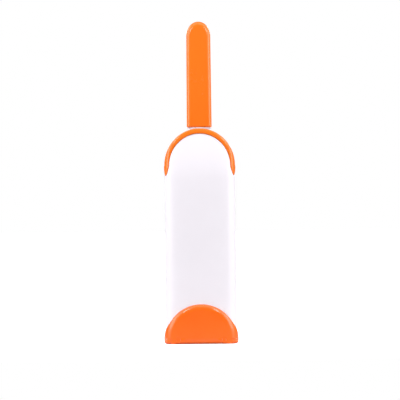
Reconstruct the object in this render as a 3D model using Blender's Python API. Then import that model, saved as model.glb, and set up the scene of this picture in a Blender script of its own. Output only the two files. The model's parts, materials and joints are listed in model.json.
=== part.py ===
"""Double-sided lint brush standing in its self-cleaning base.

The base is a two-part sleeve on a floor cap, with a ring round its mouth, wiper pads inside
and an emptying door at its foot. The brush is a paddle with a tang inside a two-part handle.
Z is up, the front faces -Y, and the origin is on the floor under the middle of the base.
"""
import math

import bmesh
import bpy
from mathutils import Matrix, Vector

MM = 0.001
GAP = 0.3 * MM  # clearance between pieces that touch

# Sleeve: a superellipse tube whose front and rear lean in towards the mouth
SLEEVE_HALF_WIDTH = 35.0 * MM
SLEEVE_HALF_DEPTH = 21.4 * MM
SLEEVE_POWER = 4.0
SLEEVE_WALL = 2.4 * MM
SLEEVE_BOTTOM_Z = 5.6 * MM
LEAN_START_Z = 165.0 * MM
LEAN_IN = 6.8 * MM
LEAN_POWER = 1.6
SEAM_DEPTH = GAP / 2

# Mouth: elliptical arches over the front and the rear, whose legs end in tips at the corners
ARCH_Z = 177.5 * MM
ARCH_OUTER = (35.4 * MM, 36.3 * MM)  # half-width and height of the band's upper edge
ARCH_INNER = (30.4 * MM, 31.2 * MM)
RING_PROUD = 0.5 * MM
RING_CROWN = 0.6 * MM  # more of it on the front and the rear
RING_BEAD = ((0.0, 0.2), (0.2, 0.75), (0.5, 1.0), (0.8, 0.75), (1.0, -0.2))  # across the band
TIP_Y = 12.4 * MM
TIP_Z = 166.9 * MM
SIDE_TOP_Z = 177.0 * MM
SIDE_LOW_Z = 173.7 * MM
TONGUE_OUTER = 1.5 * MM
TONGUE_SHARES = (0.2, 0.43, 0.66)  # of the band's width, up to where the sleeve's tongue ends
SHOULDER_GAP = 0.35 * MM
GROOVE_INSET = TONGUE_OUTER - GAP
GROOVE_SHARES = (0.74, 0.43, 0.2, 0.0)
CREST_Z = ARCH_Z + ARCH_OUTER[1]

# Foot: floor cap and the two half-moons, front one a door
FOOT_HALF_WIDTH = 36.9 * MM
FOOT_HALF_DEPTH = 24.5 * MM
FOOT_POWER = 4.4
FOOT_TOP_Z = 5.3 * MM
FOOT_EDGE_R = 2.8 * MM
CAP_INSET = 0.05 * MM  # of the cap's outside from the half-moons'
FLOOR_THICK = 3.0 * MM
SPIGOT_TOP_Z = 12.0 * MM
SPIGOT_WALL = 1.8 * MM
MOON_R = 35.5 * MM
MOON_Z = 3.9 * MM
MOON_EDGE = 6.0 * MM  # width of its rounded rim
MOON_ROUND_R = 8.0 * MM
MOON_FLARE = 1.35 * MM  # widening at the foot, over these heights
FLARE_Z = (14.0 * MM, 23.0 * MM)
MOON_ROOT_Y = GAP / 2
OUTLET_R = 30.7 * MM
OUTLET_BACK_Y = -5.0 * MM
LIP_OUTER_R = 29.9 * MM
LIP_INNER_R = 28.1 * MM
LIP_BACK_Y = -19.3 * MM
LIP_INSET = 0.8 * MM  # of its front behind the half-moon's

# Door hinge: barrels of the door between two snap-on knuckles of the cap, on one pin along X
HINGE_Y = -20.8 * MM
HINGE_Z = 4.1 * MM
NOTCH_HALF_WIDTH = 30.2 * MM
NOTCH_BACK_Y = -16.6 * MM
BARREL_R = 3.9 * MM
BARREL_HALF_LENGTH = NOTCH_HALF_WIDTH - GAP
KNUCKLE_X = (20.6 * MM, 24.2 * MM)
KNUCKLE_FOOT = [(-21.4 * MM, 0.0), (-16.0 * MM, 0.0), (-16.0 * MM, 2.6 * MM)]
SLOT_R = BARREL_R + GAP
PIN_R = 1.1 * MM
PIN_HALF_LENGTH = 26.5 * MM
PIN_HOLE_R = PIN_R + GAP
SNAP_WIDTH = 1.9 * MM  # mouth of a knuckle's hole, narrower than the pin

# Screws
SCREW_HEAD_R = 2.6 * MM
SCREW_HEAD_HEIGHT = 1.7 * MM
SCREW_HEAD_EDGE = 0.3 * MM
SCREW_POINT = 1.5 * MM
SCREW_SHANK_R = 1.3 * MM
SCREW_SLOT = (3.4 * MM, 0.8 * MM, 0.9 * MM)
BASE_SCREW_X = 21.0 * MM
BASE_SCREW_Y = 15.2 * MM
BASE_SCREW_TOP_Z = 16.5 * MM
SHELL_BOSS_R = 2.8 * MM
SHELL_BOSS_TOP_Z = 20.0 * MM
BOSS_RIB = 2.0 * MM
CAP_BOSS_R = 3.4 * MM
CAP_BOSS_Y = BASE_SCREW_Y - 0.4 * MM
BOSS_POCKET = (7.2 * MM, 11.0 * MM, 18.9 * MM)  # in the spigot: width, and where it lies along Y
HEAD_SEAT_Z = 2.3 * MM

# Inside the sleeve: guides for the paddle's edges, ledges for the wipers and lips at the seams
GUIDE_Y = (7.2 * MM, 8.7 * MM)
GUIDE_X = (26.7 * MM, 33.2 * MM)
GUIDE_Z = (30.0 * MM, 160.0 * MM)
SEAM_LIP_Y = (-2.5 * MM, 4.0 * MM)
SEAM_LIP_Z = (20.0 * MM, 160.0 * MM)
SEAM_LIP_THICK = 1.0 * MM
SEAM_ROOT_Y = (1.5 * MM, 3.5 * MM)
WIPER_HALF_WIDTH = 24.0 * MM
WIPER_Z = (116.0 * MM, 172.0 * MM)
WIPER_CORNER = 4.0 * MM
WIPER_TRIM = 1.5 * MM  # of its foam and fabric from the carrier's edge
LEDGE = 1.6 * MM
CARRIER_Y = (14.3 * MM, 16.3 * MM)
WIPER_FOAM_Y = (11.6 * MM, 14.0 * MM)
WIPER_FABRIC_Y = (9.9 * MM, 11.3 * MM)

# Paddle
PADDLE_HALF_WIDTH = 28.0 * MM
PADDLE_HALF_DEPTH = 6.5 * MM
PADDLE_EDGE = 2.4 * MM
PADDLE_BOTTOM_Z = 46.0 * MM
PADDLE_CORNER = 10.0 * MM
PADDLE_ARCH_Z = 176.0 * MM
PAD_HALF_WIDTH = 25.0 * MM
PAD_BOTTOM_Z = 50.0 * MM
PAD_ARCH_Z = 163.0 * MM
RECESS_Y = 4.7 * MM
PAD_PLATE_Y = (5.0 * MM, 6.2 * MM)
PAD_FOAM_Y = (6.5 * MM, 8.0 * MM)
LINT_FABRIC_Y = (8.3 * MM, 9.5 * MM)
PAD_CORNER = 6.7 * MM
PAD_FOAM_TRIM = 1.2 * MM
LINT_FABRIC_TRIM = 0.8 * MM
NECK_POWER = 3.0
NECK_SECTIONS = ((14.0 * MM, 5.5 * MM, 192.0 * MM), (11.0 * MM, 6.8 * MM, 205.0 * MM),
                 (9.0 * MM, 7.0 * MM, 213.2 * MM))  # half-width, half-depth and z
TANG_HALF = (7.0 * MM, 4.0 * MM)
TANG_TOP_Z = 283.0 * MM
FLANGE_HALF = (11.9 * MM, 9.6 * MM)
FLANGE_Z = (213.5 * MM, 214.6 * MM)

# Handle
HANDLE_BOTTOM_Z = FLANGE_Z[1] + GAP
HANDLE_TOP_Z = 320.0 * MM
HANDLE_HALF_WIDTH = (12.35 * MM, 11.95 * MM)
HANDLE_HALF_DEPTH = (10.0 * MM, 8.5 * MM)
HANDLE_END_HEIGHT = 14.0 * MM
HANDLE_EDGE_R = 4.5 * MM
HANDLE_FOOT_EDGE = 1.0 * MM
HANDLE_CORNER = 1.2 * MM
HANDLE_WALL = 2.0 * MM
HANDLE_SCREW_Z = {"lower": 232.0 * MM, "upper": 268.0 * MM}
HANDLE_BOSS_R = 3.6 * MM
HANDLE_BOSS_INSET = 1.0 * MM
SCREW_SINK = 0.6 * MM  # of the heads below the rear face

# Mesh fineness
RING_POINTS = 48
ARCH_STEPS = 10
SIDE_STEPS = 8
LEAN_ROWS = 4
ROUND_SIDES = 20
BEYOND = 50.0 * MM  # reach of a cutting box past the piece

WHITE = ((0.92, 0.90, 0.93), 0.35, 0.0)
ORANGE = ((1.0, 0.20, 0.02), 0.30, 0.0)
FOAM = ((0.25, 0.25, 0.27), 0.95, 0.0)
VELOUR = ((0.55, 0.06, 0.03), 0.90, 0.0)
STEEL = ((0.60, 0.60, 0.62), 0.25, 1.0)


# ---------------------------------------------------------------- objects and materials

def make_material(name, look):
    """Principled material with the piece's colour, roughness and metallic value."""
    colour, roughness, metallic = look
    material = bpy.data.materials.new(name)
    material.use_nodes = True
    shader = material.node_tree.nodes["Principled BSDF"]
    shader.inputs["Base Color"].default_value = (*colour, 1.0)
    shader.inputs["Roughness"].default_value = roughness
    shader.inputs["Metallic"].default_value = metallic
    return material


def add_object(name, bm, look=None):
    """Object from a mesh in world coordinates."""
    bmesh.ops.recalc_face_normals(bm, faces=bm.faces)
    mesh = bpy.data.meshes.new(name)
    bm.to_mesh(mesh)
    bm.free()
    obj = bpy.data.objects.new(name, mesh)
    bpy.context.collection.objects.link(obj)
    if look:
        mesh.materials.append(make_material(name, look))
        mesh.shade_smooth()
        mesh.set_sharp_from_angle(angle=math.radians(35))
    return obj


def combine(target, operation, *tools):
    """Boolean the target with each tool, a mesh or an object, kept as a wire guide."""
    for tool in tools:
        count = len(target.modifiers)
        name = f"{target.name}_{operation.lower()}_{count}"
        if isinstance(tool, bmesh.types.BMesh):
            tool = add_object(name, tool)
        tool.hide_render = True
        tool.display_type = "WIRE"
        modifier = target.modifiers.new(name, "BOOLEAN")
        modifier.operation = operation
        modifier.solver = "EXACT"
        modifier.object = tool
    return target


def axis_empty(name, location, children):
    """Empty on a joint's axis, with the moving pieces parented to it."""
    empty = bpy.data.objects.new(name, None)
    bpy.context.collection.objects.link(empty)
    empty.location = location
    for child in children:
        child.parent = empty
        child.location = -empty.location


# ---------------------------------------------------------------- solids

def loft(rings, closed=False):
    """Skin a row of point loops; an open row is capped at both ends."""
    bm = bmesh.new()
    loops = [[bm.verts.new(point) for point in ring] for ring in rings]
    following = loops[1:] + (loops[:1] if closed else [])
    for near, far in zip(loops, following):
        for i in range(len(near)):
            j = (i + 1) % len(near)
            bm.faces.new((near[i], near[j], far[j], far[i]))
    if not closed:
        bm.faces.new(reversed(loops[0]))
        bm.faces.new(loops[-1])
    return bm


def prism(outline, axis, low, high):
    """Solid between two planes square to an axis; the outline holds the other two coordinates."""
    def place(point, along):
        coordinates = list(point)
        coordinates.insert("XYZ".index(axis), along)
        return Vector(coordinates)
    return loft([[place(point, along) for point in outline] for along in (low, high)])


def circle(centre, radius, sides=ROUND_SIDES):
    turns = [2 * math.pi * i / sides for i in range(sides)]
    return [(centre[0] + radius * math.cos(t), centre[1] + radius * math.sin(t)) for t in turns]


def cylinder(axis, centre, radius, low, high, sides=ROUND_SIDES):
    return prism(circle(centre, radius, sides), axis, low, high)


def add_box(bm, low, high):
    """Box between two corners, as one more body of the mesh."""
    size = Vector(high) - Vector(low)
    centre = (Vector(high) + Vector(low)) / 2
    matrix = Matrix.Translation(centre) @ Matrix.Diagonal((*size, 1.0))
    bmesh.ops.create_cube(bm, size=1.0, matrix=matrix)


def box(low, high):
    bm = bmesh.new()
    add_box(bm, low, high)
    return bm


def hull(points):
    bm = bmesh.new()
    for point in points:
        bm.verts.new(point)
    found = bmesh.ops.convex_hull(bm, input=bm.verts)
    inside = [item for item in found["geom_interior"] if isinstance(item, bmesh.types.BMVert)]
    bmesh.ops.delete(bm, geom=inside, context="VERTS")
    return bm


def superellipse(half_x, half_y, power, z, count=RING_POINTS):
    points = []
    for i in range(count):
        turn = 2 * math.pi * i / count
        cosine, sine = math.cos(turn), math.sin(turn)
        x = half_x * math.copysign(abs(cosine) ** (2 / power), cosine)
        y = half_y * math.copysign(abs(sine) ** (2 / power), sine)
        points.append(Vector((x, y, z)))
    return points


def arc(centre, radius, start, end, steps):
    """Points of an arc, from one angle in degrees to another, both included."""
    turns = [math.radians(start + (end - start) * i / steps) for i in range(steps + 1)]
    return [(centre[0] + radius * math.cos(t), centre[1] + radius * math.sin(t)) for t in turns]


def arched_panel(half_width, bottom_z, arch_z, corner, steps=12):
    """Outline in X and Z with a half-round top and rounded bottom corners."""
    points = arc((0.0, arch_z), half_width, 0, 180, steps)
    points += arc((corner - half_width, bottom_z + corner), corner, 180, 270, 4)
    points += arc((half_width - corner, bottom_z + corner), corner, 270, 360, 4)
    return points


def rounded_panel(half_width, low_z, high_z, corner):
    """Rectangle in X and Z with rounded corners."""
    points = []
    for x_side, z_edge, z_side, start in ((1, high_z, -1, 0), (-1, high_z, -1, 90),
                                          (-1, low_z, 1, 180), (1, low_z, 1, 270)):
        centre = (x_side * (half_width - corner), z_edge + z_side * corner)
        points += arc(centre, corner, start, start + 90, 3)
    return points


# ---------------------------------------------------------------- sleeve surface

def half_depth(z):
    lean = max(0.0, (z - LEAN_START_Z) / (CREST_Z - LEAN_START_Z))
    return SLEEVE_HALF_DEPTH - LEAN_IN * lean ** LEAN_POWER


def sleeve_point(theta, z, inset=0.0):
    """Point of the sleeve's skin, moved in; theta is 0 at the front and 90 degrees at +X."""
    sine, cosine = math.sin(theta), math.cos(theta)
    power = 2 / SLEEVE_POWER
    crown = RING_CROWN * max(-inset, 0.0) / RING_PROUD
    x = (SLEEVE_HALF_WIDTH - inset) * math.copysign(abs(sine) ** power, sine)
    y = -(half_depth(z) - inset + crown) * math.copysign(abs(cosine) ** power, cosine)
    return Vector((x, y, z))


def theta_at_width(x, half_width):
    return math.asin((x / half_width) ** (SLEEVE_POWER / 2))


def theta_at_depth(y, z):
    return math.acos((y / half_depth(z)) ** (SLEEVE_POWER / 2))


def arch_edge(size, turn, half_width):
    """Where an edge of the ring's arch lies on the sleeve, as theta and z."""
    half_span, height = size
    return theta_at_width(half_span * math.sin(turn), half_width), ARCH_Z + height * math.cos(turn)


def depth_of(theta, z):
    return half_depth(z) * math.cos(theta) ** (2 / SLEEVE_POWER)


def leg_edge(start, share, seam):
    """The lower edge past the arch: down the corner to the tip, then up to the middle of the side."""
    theta, start_z = start
    if share <= 0.5:
        turn = math.pi * share
        y = TIP_Y + (depth_of(theta, start_z) - TIP_Y) * math.cos(turn)
        z = start_z - (start_z - TIP_Z) * math.sin(turn)
    else:
        turn = math.pi * (share - 0.5)
        y = max(TIP_Y * 2 * (1 - share), seam)
        z = TIP_Z + (SIDE_LOW_Z - TIP_Z) * math.sin(turn)
    return theta_at_depth(y, z), z


def side_edge(start, share, seam):
    """The upper edge past the arch, sinking a little to the middle of the side."""
    theta, start_z = start
    y = max(depth_of(theta, start_z) * (1 - share), seam)
    z = start_z - (start_z - SIDE_TOP_Z) * share
    return theta_at_depth(y, z), z


def mouth_quarter(seam=0.0):
    """Lower and upper edge of the ring's band, slice by slice from the crest to the side."""
    slices = []
    for i in range(ARCH_STEPS + 1):
        turn = math.pi / 2 * i / ARCH_STEPS
        slices.append((arch_edge(ARCH_INNER, turn, SLEEVE_HALF_WIDTH),
                       arch_edge(ARCH_OUTER, turn, SLEEVE_HALF_WIDTH + RING_PROUD)))
    lower_start, upper_start = slices[-1]
    for i in range(1, SIDE_STEPS + 1):
        share = i / SIDE_STEPS
        slices.append((leg_edge(lower_start, share, seam), side_edge(upper_start, share, seam)))
    return slices


def mirrored(slices, turn):
    """Slices with theta replaced by turn(theta)."""
    return [tuple((turn(theta), z) for theta, z in edges) for edges in slices]


def on_band(edges, share, inset):
    """Point of the sleeve across the band: share 0 is its lower edge and 1 its upper edge."""
    (low_theta, low_z), (high_theta, high_z) = edges
    theta = low_theta + (high_theta - low_theta) * share
    z = low_z + (high_z - low_z) * share
    return sleeve_point(theta, z, inset)


def sleeve_solid(grow, low_z, high_z):
    """Filled piece of the straight sleeve, grown outwards."""
    half_x, half_y = SLEEVE_HALF_WIDTH + grow, SLEEVE_HALF_DEPTH + grow
    return loft([superellipse(half_x, half_y, SLEEVE_POWER, z) for z in (low_z, high_z)])


def foot_solid(inset, low_z, high_z):
    """Filled piece of the foot's outer shape."""
    half_x, half_y = FOOT_HALF_WIDTH - inset, FOOT_HALF_DEPTH - inset
    return loft([superellipse(half_x, half_y, FOOT_POWER, z) for z in (low_z, high_z)])


# ---------------------------------------------------------------- base

def shell_column(edges):
    """One upright slice of a shell's wall, from the outside foot over the tongue and down."""
    band = on_band(edges, 1.0, 0.0) - on_band(edges, 0.0, 0.0)
    shoulder = -SHOULDER_GAP / band.length
    (low_theta, low_z), (high_theta, high_z) = edges
    theta = low_theta + (high_theta - low_theta) * shoulder
    top_z = low_z + (high_z - low_z) * shoulder
    bend_z = min(LEAN_START_Z, top_z) - GAP
    rows = [SLEEVE_BOTTOM_Z] + [bend_z + (top_z - bend_z) * i / LEAN_ROWS for i in range(LEAN_ROWS)]
    outside = [sleeve_point(theta, z) for z in rows]
    shares = (shoulder, *TONGUE_SHARES)
    rim = [on_band(edges, shoulder, 0.0)]
    rim += [on_band(edges, share, TONGUE_OUTER) for share in shares]
    rim += [on_band(edges, share, SLEEVE_WALL) for share in reversed(shares)]
    inside = [sleeve_point(theta, z, SLEEVE_WALL) for z in reversed(rows)]
    return outside + rim + inside


def shell_body(name, side):
    """Half of the sleeve; side is -1 for the front and 1 for the rear."""
    quarter = mouth_quarter(seam=SEAM_DEPTH)
    half = mirrored(quarter[::-1], lambda theta: -theta) + quarter[1:]
    columns = [shell_column(edges) for edges in half]
    if side > 0:
        columns = [[Vector((-p.x, -p.y, p.z)) for p in column] for column in columns]
    return add_object(name, loft(columns), WHITE)


def shell_ribs(side):
    """Guides for the paddle's edges, ledges and stand-offs for the wiper, as one tool."""
    bm = bmesh.new()

    def add(x_range, y_range, z_range):
        ys = sorted((side * y_range[0], side * y_range[1]))
        add_box(bm, (x_range[0], ys[0], z_range[0]), (x_range[1], ys[1], z_range[1]))

    wall_y = SLEEVE_HALF_DEPTH - SLEEVE_WALL / 2
    for hand in (-1, 1):
        add(sorted(hand * x for x in GUIDE_X), GUIDE_Y, GUIDE_Z)
        middle = hand * WIPER_HALF_WIDTH * 0.6
        add((middle - LEDGE / 2, middle + LEDGE / 2), (CARRIER_Y[1] + GAP, wall_y - GAP),
            (WIPER_Z[0] + GAP, WIPER_Z[1] - 6 * GAP))
    ledge_x = (GAP - WIPER_HALF_WIDTH, WIPER_HALF_WIDTH - GAP)
    add(ledge_x, (WIPER_FOAM_Y[0], wall_y), (WIPER_Z[0] - GAP - LEDGE, WIPER_Z[0] - GAP))
    add(ledge_x, (WIPER_FOAM_Y[0], wall_y - 2 * GAP), (WIPER_Z[1] + GAP, WIPER_Z[1] + GAP + LEDGE))
    return bm


def build_front_shell():
    shell = shell_body("front_shell", -1)
    combine(shell, "UNION", shell_ribs(-1))
    outlet = arc((0.0, MOON_Z), OUTLET_R, 0, 180, 24) + [(-OUTLET_R, -MOON_Z), (OUTLET_R, -MOON_Z)]
    combine(shell, "DIFFERENCE", prism(outlet, "Y", -2 * SLEEVE_HALF_DEPTH, OUTLET_BACK_Y))
    return shell


def build_rear_shell():
    shell = shell_body("rear_shell", 1)
    combine(shell, "UNION", shell_ribs(1))
    inner_x = SLEEVE_HALF_WIDTH - SLEEVE_WALL
    low_z, high_z = SEAM_LIP_Z
    roots, seam_lips = bmesh.new(), bmesh.new()
    for hand in (-1, 1):
        xs = sorted((hand * (inner_x - GAP - SEAM_LIP_THICK), hand * (inner_x - GAP)))
        add_box(seam_lips, (xs[0], SEAM_LIP_Y[0], low_z), (xs[1], SEAM_LIP_Y[1], high_z))
        root = sorted(hand * (inner_x + side * SLEEVE_WALL / 3) for side in (-1, 1))
        add_box(roots, (root[0], SEAM_ROOT_Y[0], low_z + LEDGE), (root[1], SEAM_ROOT_Y[1], high_z - LEDGE))
    combine(shell, "UNION", roots, seam_lips)
    for hand in (-1, 1):
        x = hand * BASE_SCREW_X
        boss = cylinder("Z", (x, BASE_SCREW_Y), SHELL_BOSS_R, SLEEVE_BOTTOM_Z, SHELL_BOSS_TOP_Z)
        rib = box((x - BOSS_RIB / 2, BASE_SCREW_Y, SPIGOT_TOP_Z + 2 * GAP),
                  (x + BOSS_RIB / 2, SLEEVE_HALF_DEPTH - SLEEVE_WALL / 2, SHELL_BOSS_TOP_Z - BOSS_RIB))
        combine(shell, "UNION", boss, rib)
        combine(shell, "DIFFERENCE", cylinder("Z", (x, BASE_SCREW_Y), SCREW_SHANK_R + GAP, 0.0,
                                              BASE_SCREW_TOP_Z + 2 * GAP, 12))
    return shell


def build_mouth_ring():
    quarter = mouth_quarter()
    to_front = quarter[1:]
    to_rear = mirrored(quarter[:-1][::-1], lambda theta: math.pi - theta)
    rear_left = mirrored(quarter[1:], lambda theta: theta + math.pi)
    front_left = mirrored(quarter[:-1][::-1], lambda theta: -theta)
    section = [(share, -RING_PROUD * proud) for share, proud in RING_BEAD]
    section += [(1.0, SLEEVE_WALL), (GROOVE_SHARES[0], SLEEVE_WALL)]
    section += [(share, GROOVE_INSET) for share in GROOVE_SHARES]
    slices = to_front + to_rear + rear_left + front_left
    rings = [[on_band(edges, share, inset) for share, inset in section] for edges in slices]
    return add_object("mouth_ring", loft(rings, closed=True), ORANGE)


def flare(z):
    """Share by which the half-moons widen towards the floor."""
    share = min(max((FLARE_Z[1] - z) / (FLARE_Z[1] - FLARE_Z[0]), 0.0), 1.0)
    return 1 + MOON_FLARE / MOON_R * share * share * (3 - 2 * share)


def half_moon(side):
    """Raised half-moon of the foot, wrapped round the sleeve; side is -1 for the front."""
    flat_r = MOON_R - MOON_EDGE
    stations = [0.0, flat_r * 0.6, flat_r]
    stations += [flat_r + MOON_EDGE * share for share in (0.35, 0.6, 0.8, 1.0)]
    points = []
    for radius in stations:
        drop = MOON_ROUND_R - math.sqrt(MOON_ROUND_R ** 2 - max(radius - flat_r, 0.0) ** 2)
        for i in range(33):
            turn = math.pi * i / 32
            z = MOON_Z + radius * math.sin(turn)
            x = radius * math.cos(turn) * flare(z)
            bulge = (1 - (abs(x) / FOOT_HALF_WIDTH) ** FOOT_POWER) ** (1 / FOOT_POWER)
            points.append(Vector((x, side * (FOOT_HALF_DEPTH - drop) * bulge, z)))
            if radius == stations[-1]:
                points.append(Vector((x, side * MOON_ROOT_Y, z)))
    return hull(points)


def below(z):
    """Cutting box that takes all that lies lower."""
    return box((-BEYOND, -BEYOND, -MM), (BEYOND, BEYOND, z))


def hinge_cylinder(radius, low, high, sides):
    return cylinder("X", (HINGE_Y, HINGE_Z), radius, low, high, sides)


def pin_hole():
    reach = PIN_HALF_LENGTH + GAP
    return hinge_cylinder(PIN_HOLE_R, -reach, reach, 12)


def build_fur_door():
    door = add_object("fur_door", half_moon(-1), ORANGE)
    combine(door, "DIFFERENCE", sleeve_solid(GAP, -MM, BEYOND), below(SLEEVE_BOTTOM_Z))
    lip_outline = arc((0.0, MOON_Z), LIP_OUTER_R, 20, 160, 20)
    lip_outline += arc((0.0, MOON_Z), LIP_INNER_R, 160, 20, 20)
    lip = add_object("door_lip", prism(lip_outline, "Y", -FOOT_HALF_DEPTH, LIP_BACK_Y))
    combine(lip, "INTERSECT", foot_solid(LIP_INSET, -MM, BEYOND))
    barrel = add_object("door_barrel",
                        hinge_cylinder(BARREL_R, -BARREL_HALF_LENGTH, BARREL_HALF_LENGTH, 28))
    combine(barrel, "INTERSECT", foot_solid(CAP_INSET, -MM, SPIGOT_TOP_Z))
    combine(door, "UNION", lip, barrel)
    for hand in (-1, 1):
        xs = sorted(hand * (x + end) for x, end in zip(KNUCKLE_X, (-GAP, GAP)))
        combine(door, "DIFFERENCE", hinge_cylinder(SLOT_R, xs[0], xs[1], 28))
    combine(door, "DIFFERENCE", pin_hole())
    return door


def build_base_cap():
    def foot(inset, z):
        return superellipse(FOOT_HALF_WIDTH - CAP_INSET - inset, FOOT_HALF_DEPTH - CAP_INSET - inset,
                            FOOT_POWER, z)

    def inside(inset, z):
        return superellipse(SLEEVE_HALF_WIDTH - inset, SLEEVE_HALF_DEPTH - inset, SLEEVE_POWER, z)

    spigot = SLEEVE_WALL + GAP
    turns = [math.pi / 6 * i for i in range(4)]
    rings = [foot(FOOT_EDGE_R * (1 - math.sin(t)), FOOT_EDGE_R * (1 - math.cos(t))) for t in turns]
    rings += [foot(0.0, FOOT_TOP_Z), inside(spigot, FOOT_TOP_Z), inside(spigot, SPIGOT_TOP_Z),
              inside(spigot + SPIGOT_WALL, SPIGOT_TOP_Z), inside(spigot + SPIGOT_WALL, FLOOR_THICK)]
    cap = add_object("base_cap", loft(rings), ORANGE)

    combine(cap, "DIFFERENCE", box((-NOTCH_HALF_WIDTH, -BEYOND, -BEYOND),
                                   (NOTCH_HALF_WIDTH, NOTCH_BACK_Y, BEYOND)))
    rear_moon = add_object("rear_half_moon", half_moon(1))
    combine(rear_moon, "DIFFERENCE", sleeve_solid(GAP, -MM, BEYOND), below(FOOT_TOP_Z - MM))
    combine(cap, "UNION", rear_moon)
    for hand in (-1, 1):
        add_knuckle(cap, hand)
        add_screw_seat(cap, hand * BASE_SCREW_X)
    combine(cap, "DIFFERENCE", pin_hole())
    return cap


def add_knuckle(cap, hand):
    """Knuckle whose hole is open below, so that it snaps over the pin."""
    xs = sorted(hand * x for x in KNUCKLE_X)
    outline = circle((HINGE_Y, HINGE_Z), BARREL_R) + KNUCKLE_FOOT
    knuckle = add_object("knuckle", hull([Vector((x, y, z)) for x in xs for y, z in outline]))
    combine(knuckle, "INTERSECT", foot_solid(CAP_INSET, -MM, SPIGOT_TOP_Z))
    combine(cap, "UNION", knuckle)
    combine(cap, "DIFFERENCE", box((xs[0] - MM, HINGE_Y - SNAP_WIDTH / 2, -MM),
                                   (xs[1] + MM, HINGE_Y + SNAP_WIDTH / 2, HINGE_Z)))


def add_screw_seat(cap, x):
    """Pocket in the spigot for a boss of the rear shell, and the seat of its screw under it."""
    width, near_y, far_y = BOSS_POCKET
    combine(cap, "DIFFERENCE", box((x - width / 2, near_y, FOOT_TOP_Z - GAP),
                                   (x + width / 2, far_y, BEYOND)))
    combine(cap, "UNION", cylinder("Z", (x, CAP_BOSS_Y), CAP_BOSS_R, HEAD_SEAT_Z - GAP,
                                   FOOT_TOP_Z - GAP / 2))
    combine(cap, "DIFFERENCE", cylinder("Z", (x, BASE_SCREW_Y), SCREW_HEAD_R + GAP, -MM, HEAD_SEAT_Z),
            cylinder("Z", (x, BASE_SCREW_Y), SCREW_SHANK_R + GAP, MM, FOOT_TOP_Z + MM, 12))


def build_screw(name, place, direction, length):
    """Pan-head screw; place is the middle of its head's face, direction the way it drives."""
    rings = []
    for radius, along in ((SCREW_HEAD_R * 0.8, 0.0), (SCREW_HEAD_R, SCREW_HEAD_EDGE),
                          (SCREW_HEAD_R, SCREW_HEAD_HEIGHT), (SCREW_SHANK_R, SCREW_HEAD_HEIGHT),
                          (SCREW_SHANK_R, length - SCREW_POINT), (SCREW_SHANK_R * 0.35, length)):
        rings.append([Vector((x, y, along)) for x, y in circle((0.0, 0.0), radius, 16)])
    turn = Vector((0, 0, 1)).rotation_difference(Vector(direction)).to_matrix().to_4x4()
    matrix = Matrix.Translation(place) @ turn
    bm = loft(rings)
    bmesh.ops.transform(bm, matrix=matrix, verts=bm.verts)
    screw = add_object(name, bm, STEEL)
    long_side, short_side, depth = SCREW_SLOT
    for half_x, half_y in ((long_side / 2, short_side / 2), (short_side / 2, long_side / 2)):
        slot = box((-half_x, -half_y, -MM), (half_x, half_y, depth))
        bmesh.ops.transform(slot, matrix=matrix, verts=slot.verts)
        combine(screw, "DIFFERENCE", slot)
    return screw


def build_wiper(prefix, side):
    """Carrier, foam and fabric of one wiper, standing between its shell's ledges."""
    for suffix, (near, far), look, trim in (("carrier", CARRIER_Y, WHITE, 0.0),
                                            ("foam", WIPER_FOAM_Y, FOAM, WIPER_TRIM),
                                            ("fabric", WIPER_FABRIC_Y, VELOUR, WIPER_TRIM)):
        outline = rounded_panel(WIPER_HALF_WIDTH - trim, WIPER_Z[0] + trim, WIPER_Z[1] - trim, WIPER_CORNER)
        low, high = sorted((side * near, side * far))
        add_object(f"{prefix}_wiper_{suffix}", prism(outline, "Y", low, high), look)


# ---------------------------------------------------------------- brush

def build_paddle_frame():
    rings = []
    for share in (0.0, 0.3, 1.0):
        inset = PADDLE_EDGE * (1 - math.sqrt(1 - (1 - share) ** 2))
        y = PADDLE_HALF_DEPTH - PADDLE_EDGE * share
        outline = arched_panel(PADDLE_HALF_WIDTH - inset, PADDLE_BOTTOM_Z + inset, PADDLE_ARCH_Z,
                               PADDLE_CORNER, 20)
        rings.append([Vector((x, -y, z)) for x, z in outline])
    rings += [[Vector((p.x, -p.y, p.z)) for p in ring] for ring in reversed(rings)]
    frame = add_object("paddle_frame", loft(rings), WHITE)

    def neck(half_x, half_y, z):
        return superellipse(half_x, half_y, NECK_POWER, z, 28)

    stem = [neck(*section) for section in NECK_SECTIONS]
    stem += [neck(*FLANGE_HALF, z) for z in FLANGE_Z]
    stem += [neck(*TANG_HALF, FLANGE_Z[1]), neck(TANG_HALF[0] * 0.9, TANG_HALF[1], TANG_TOP_Z)]
    combine(frame, "UNION", loft(stem))
    recess = arched_panel(PAD_HALF_WIDTH, PAD_BOTTOM_Z, PAD_ARCH_Z, PADDLE_CORNER * 0.7, 16)
    for side in (-1, 1):
        low, high = sorted((side * RECESS_Y, side * 2 * PADDLE_HALF_DEPTH))
        combine(frame, "DIFFERENCE", prism(recess, "Y", low, high))
    for z in HANDLE_SCREW_Z.values():
        combine(frame, "DIFFERENCE", cylinder("Y", (0.0, z), SCREW_SHANK_R + GAP, -2 * TANG_HALF[1],
                                              2 * TANG_HALF[1], 12))
    return frame


def build_pad(prefix, side):
    """Plate, foam and lint fabric on one face of the paddle."""
    pieces = []
    for name, (near, far), look, trim in (("pad_plate", PAD_PLATE_Y, WHITE, GAP),
                                          ("pad_foam", PAD_FOAM_Y, FOAM, PAD_FOAM_TRIM),
                                          ("lint_fabric", LINT_FABRIC_Y, VELOUR, LINT_FABRIC_TRIM)):
        outline = arched_panel(PAD_HALF_WIDTH - trim, PAD_BOTTOM_Z + trim, PAD_ARCH_Z, PAD_CORNER, 14)
        low, high = sorted((side * near, side * far))
        pieces.append(add_object(f"{prefix}_{name}", prism(outline, "Y", low, high), look))
    return pieces


def handle_share(z):
    return (z - HANDLE_BOTTOM_Z) / (HANDLE_TOP_Z - HANDLE_BOTTOM_Z)


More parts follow.
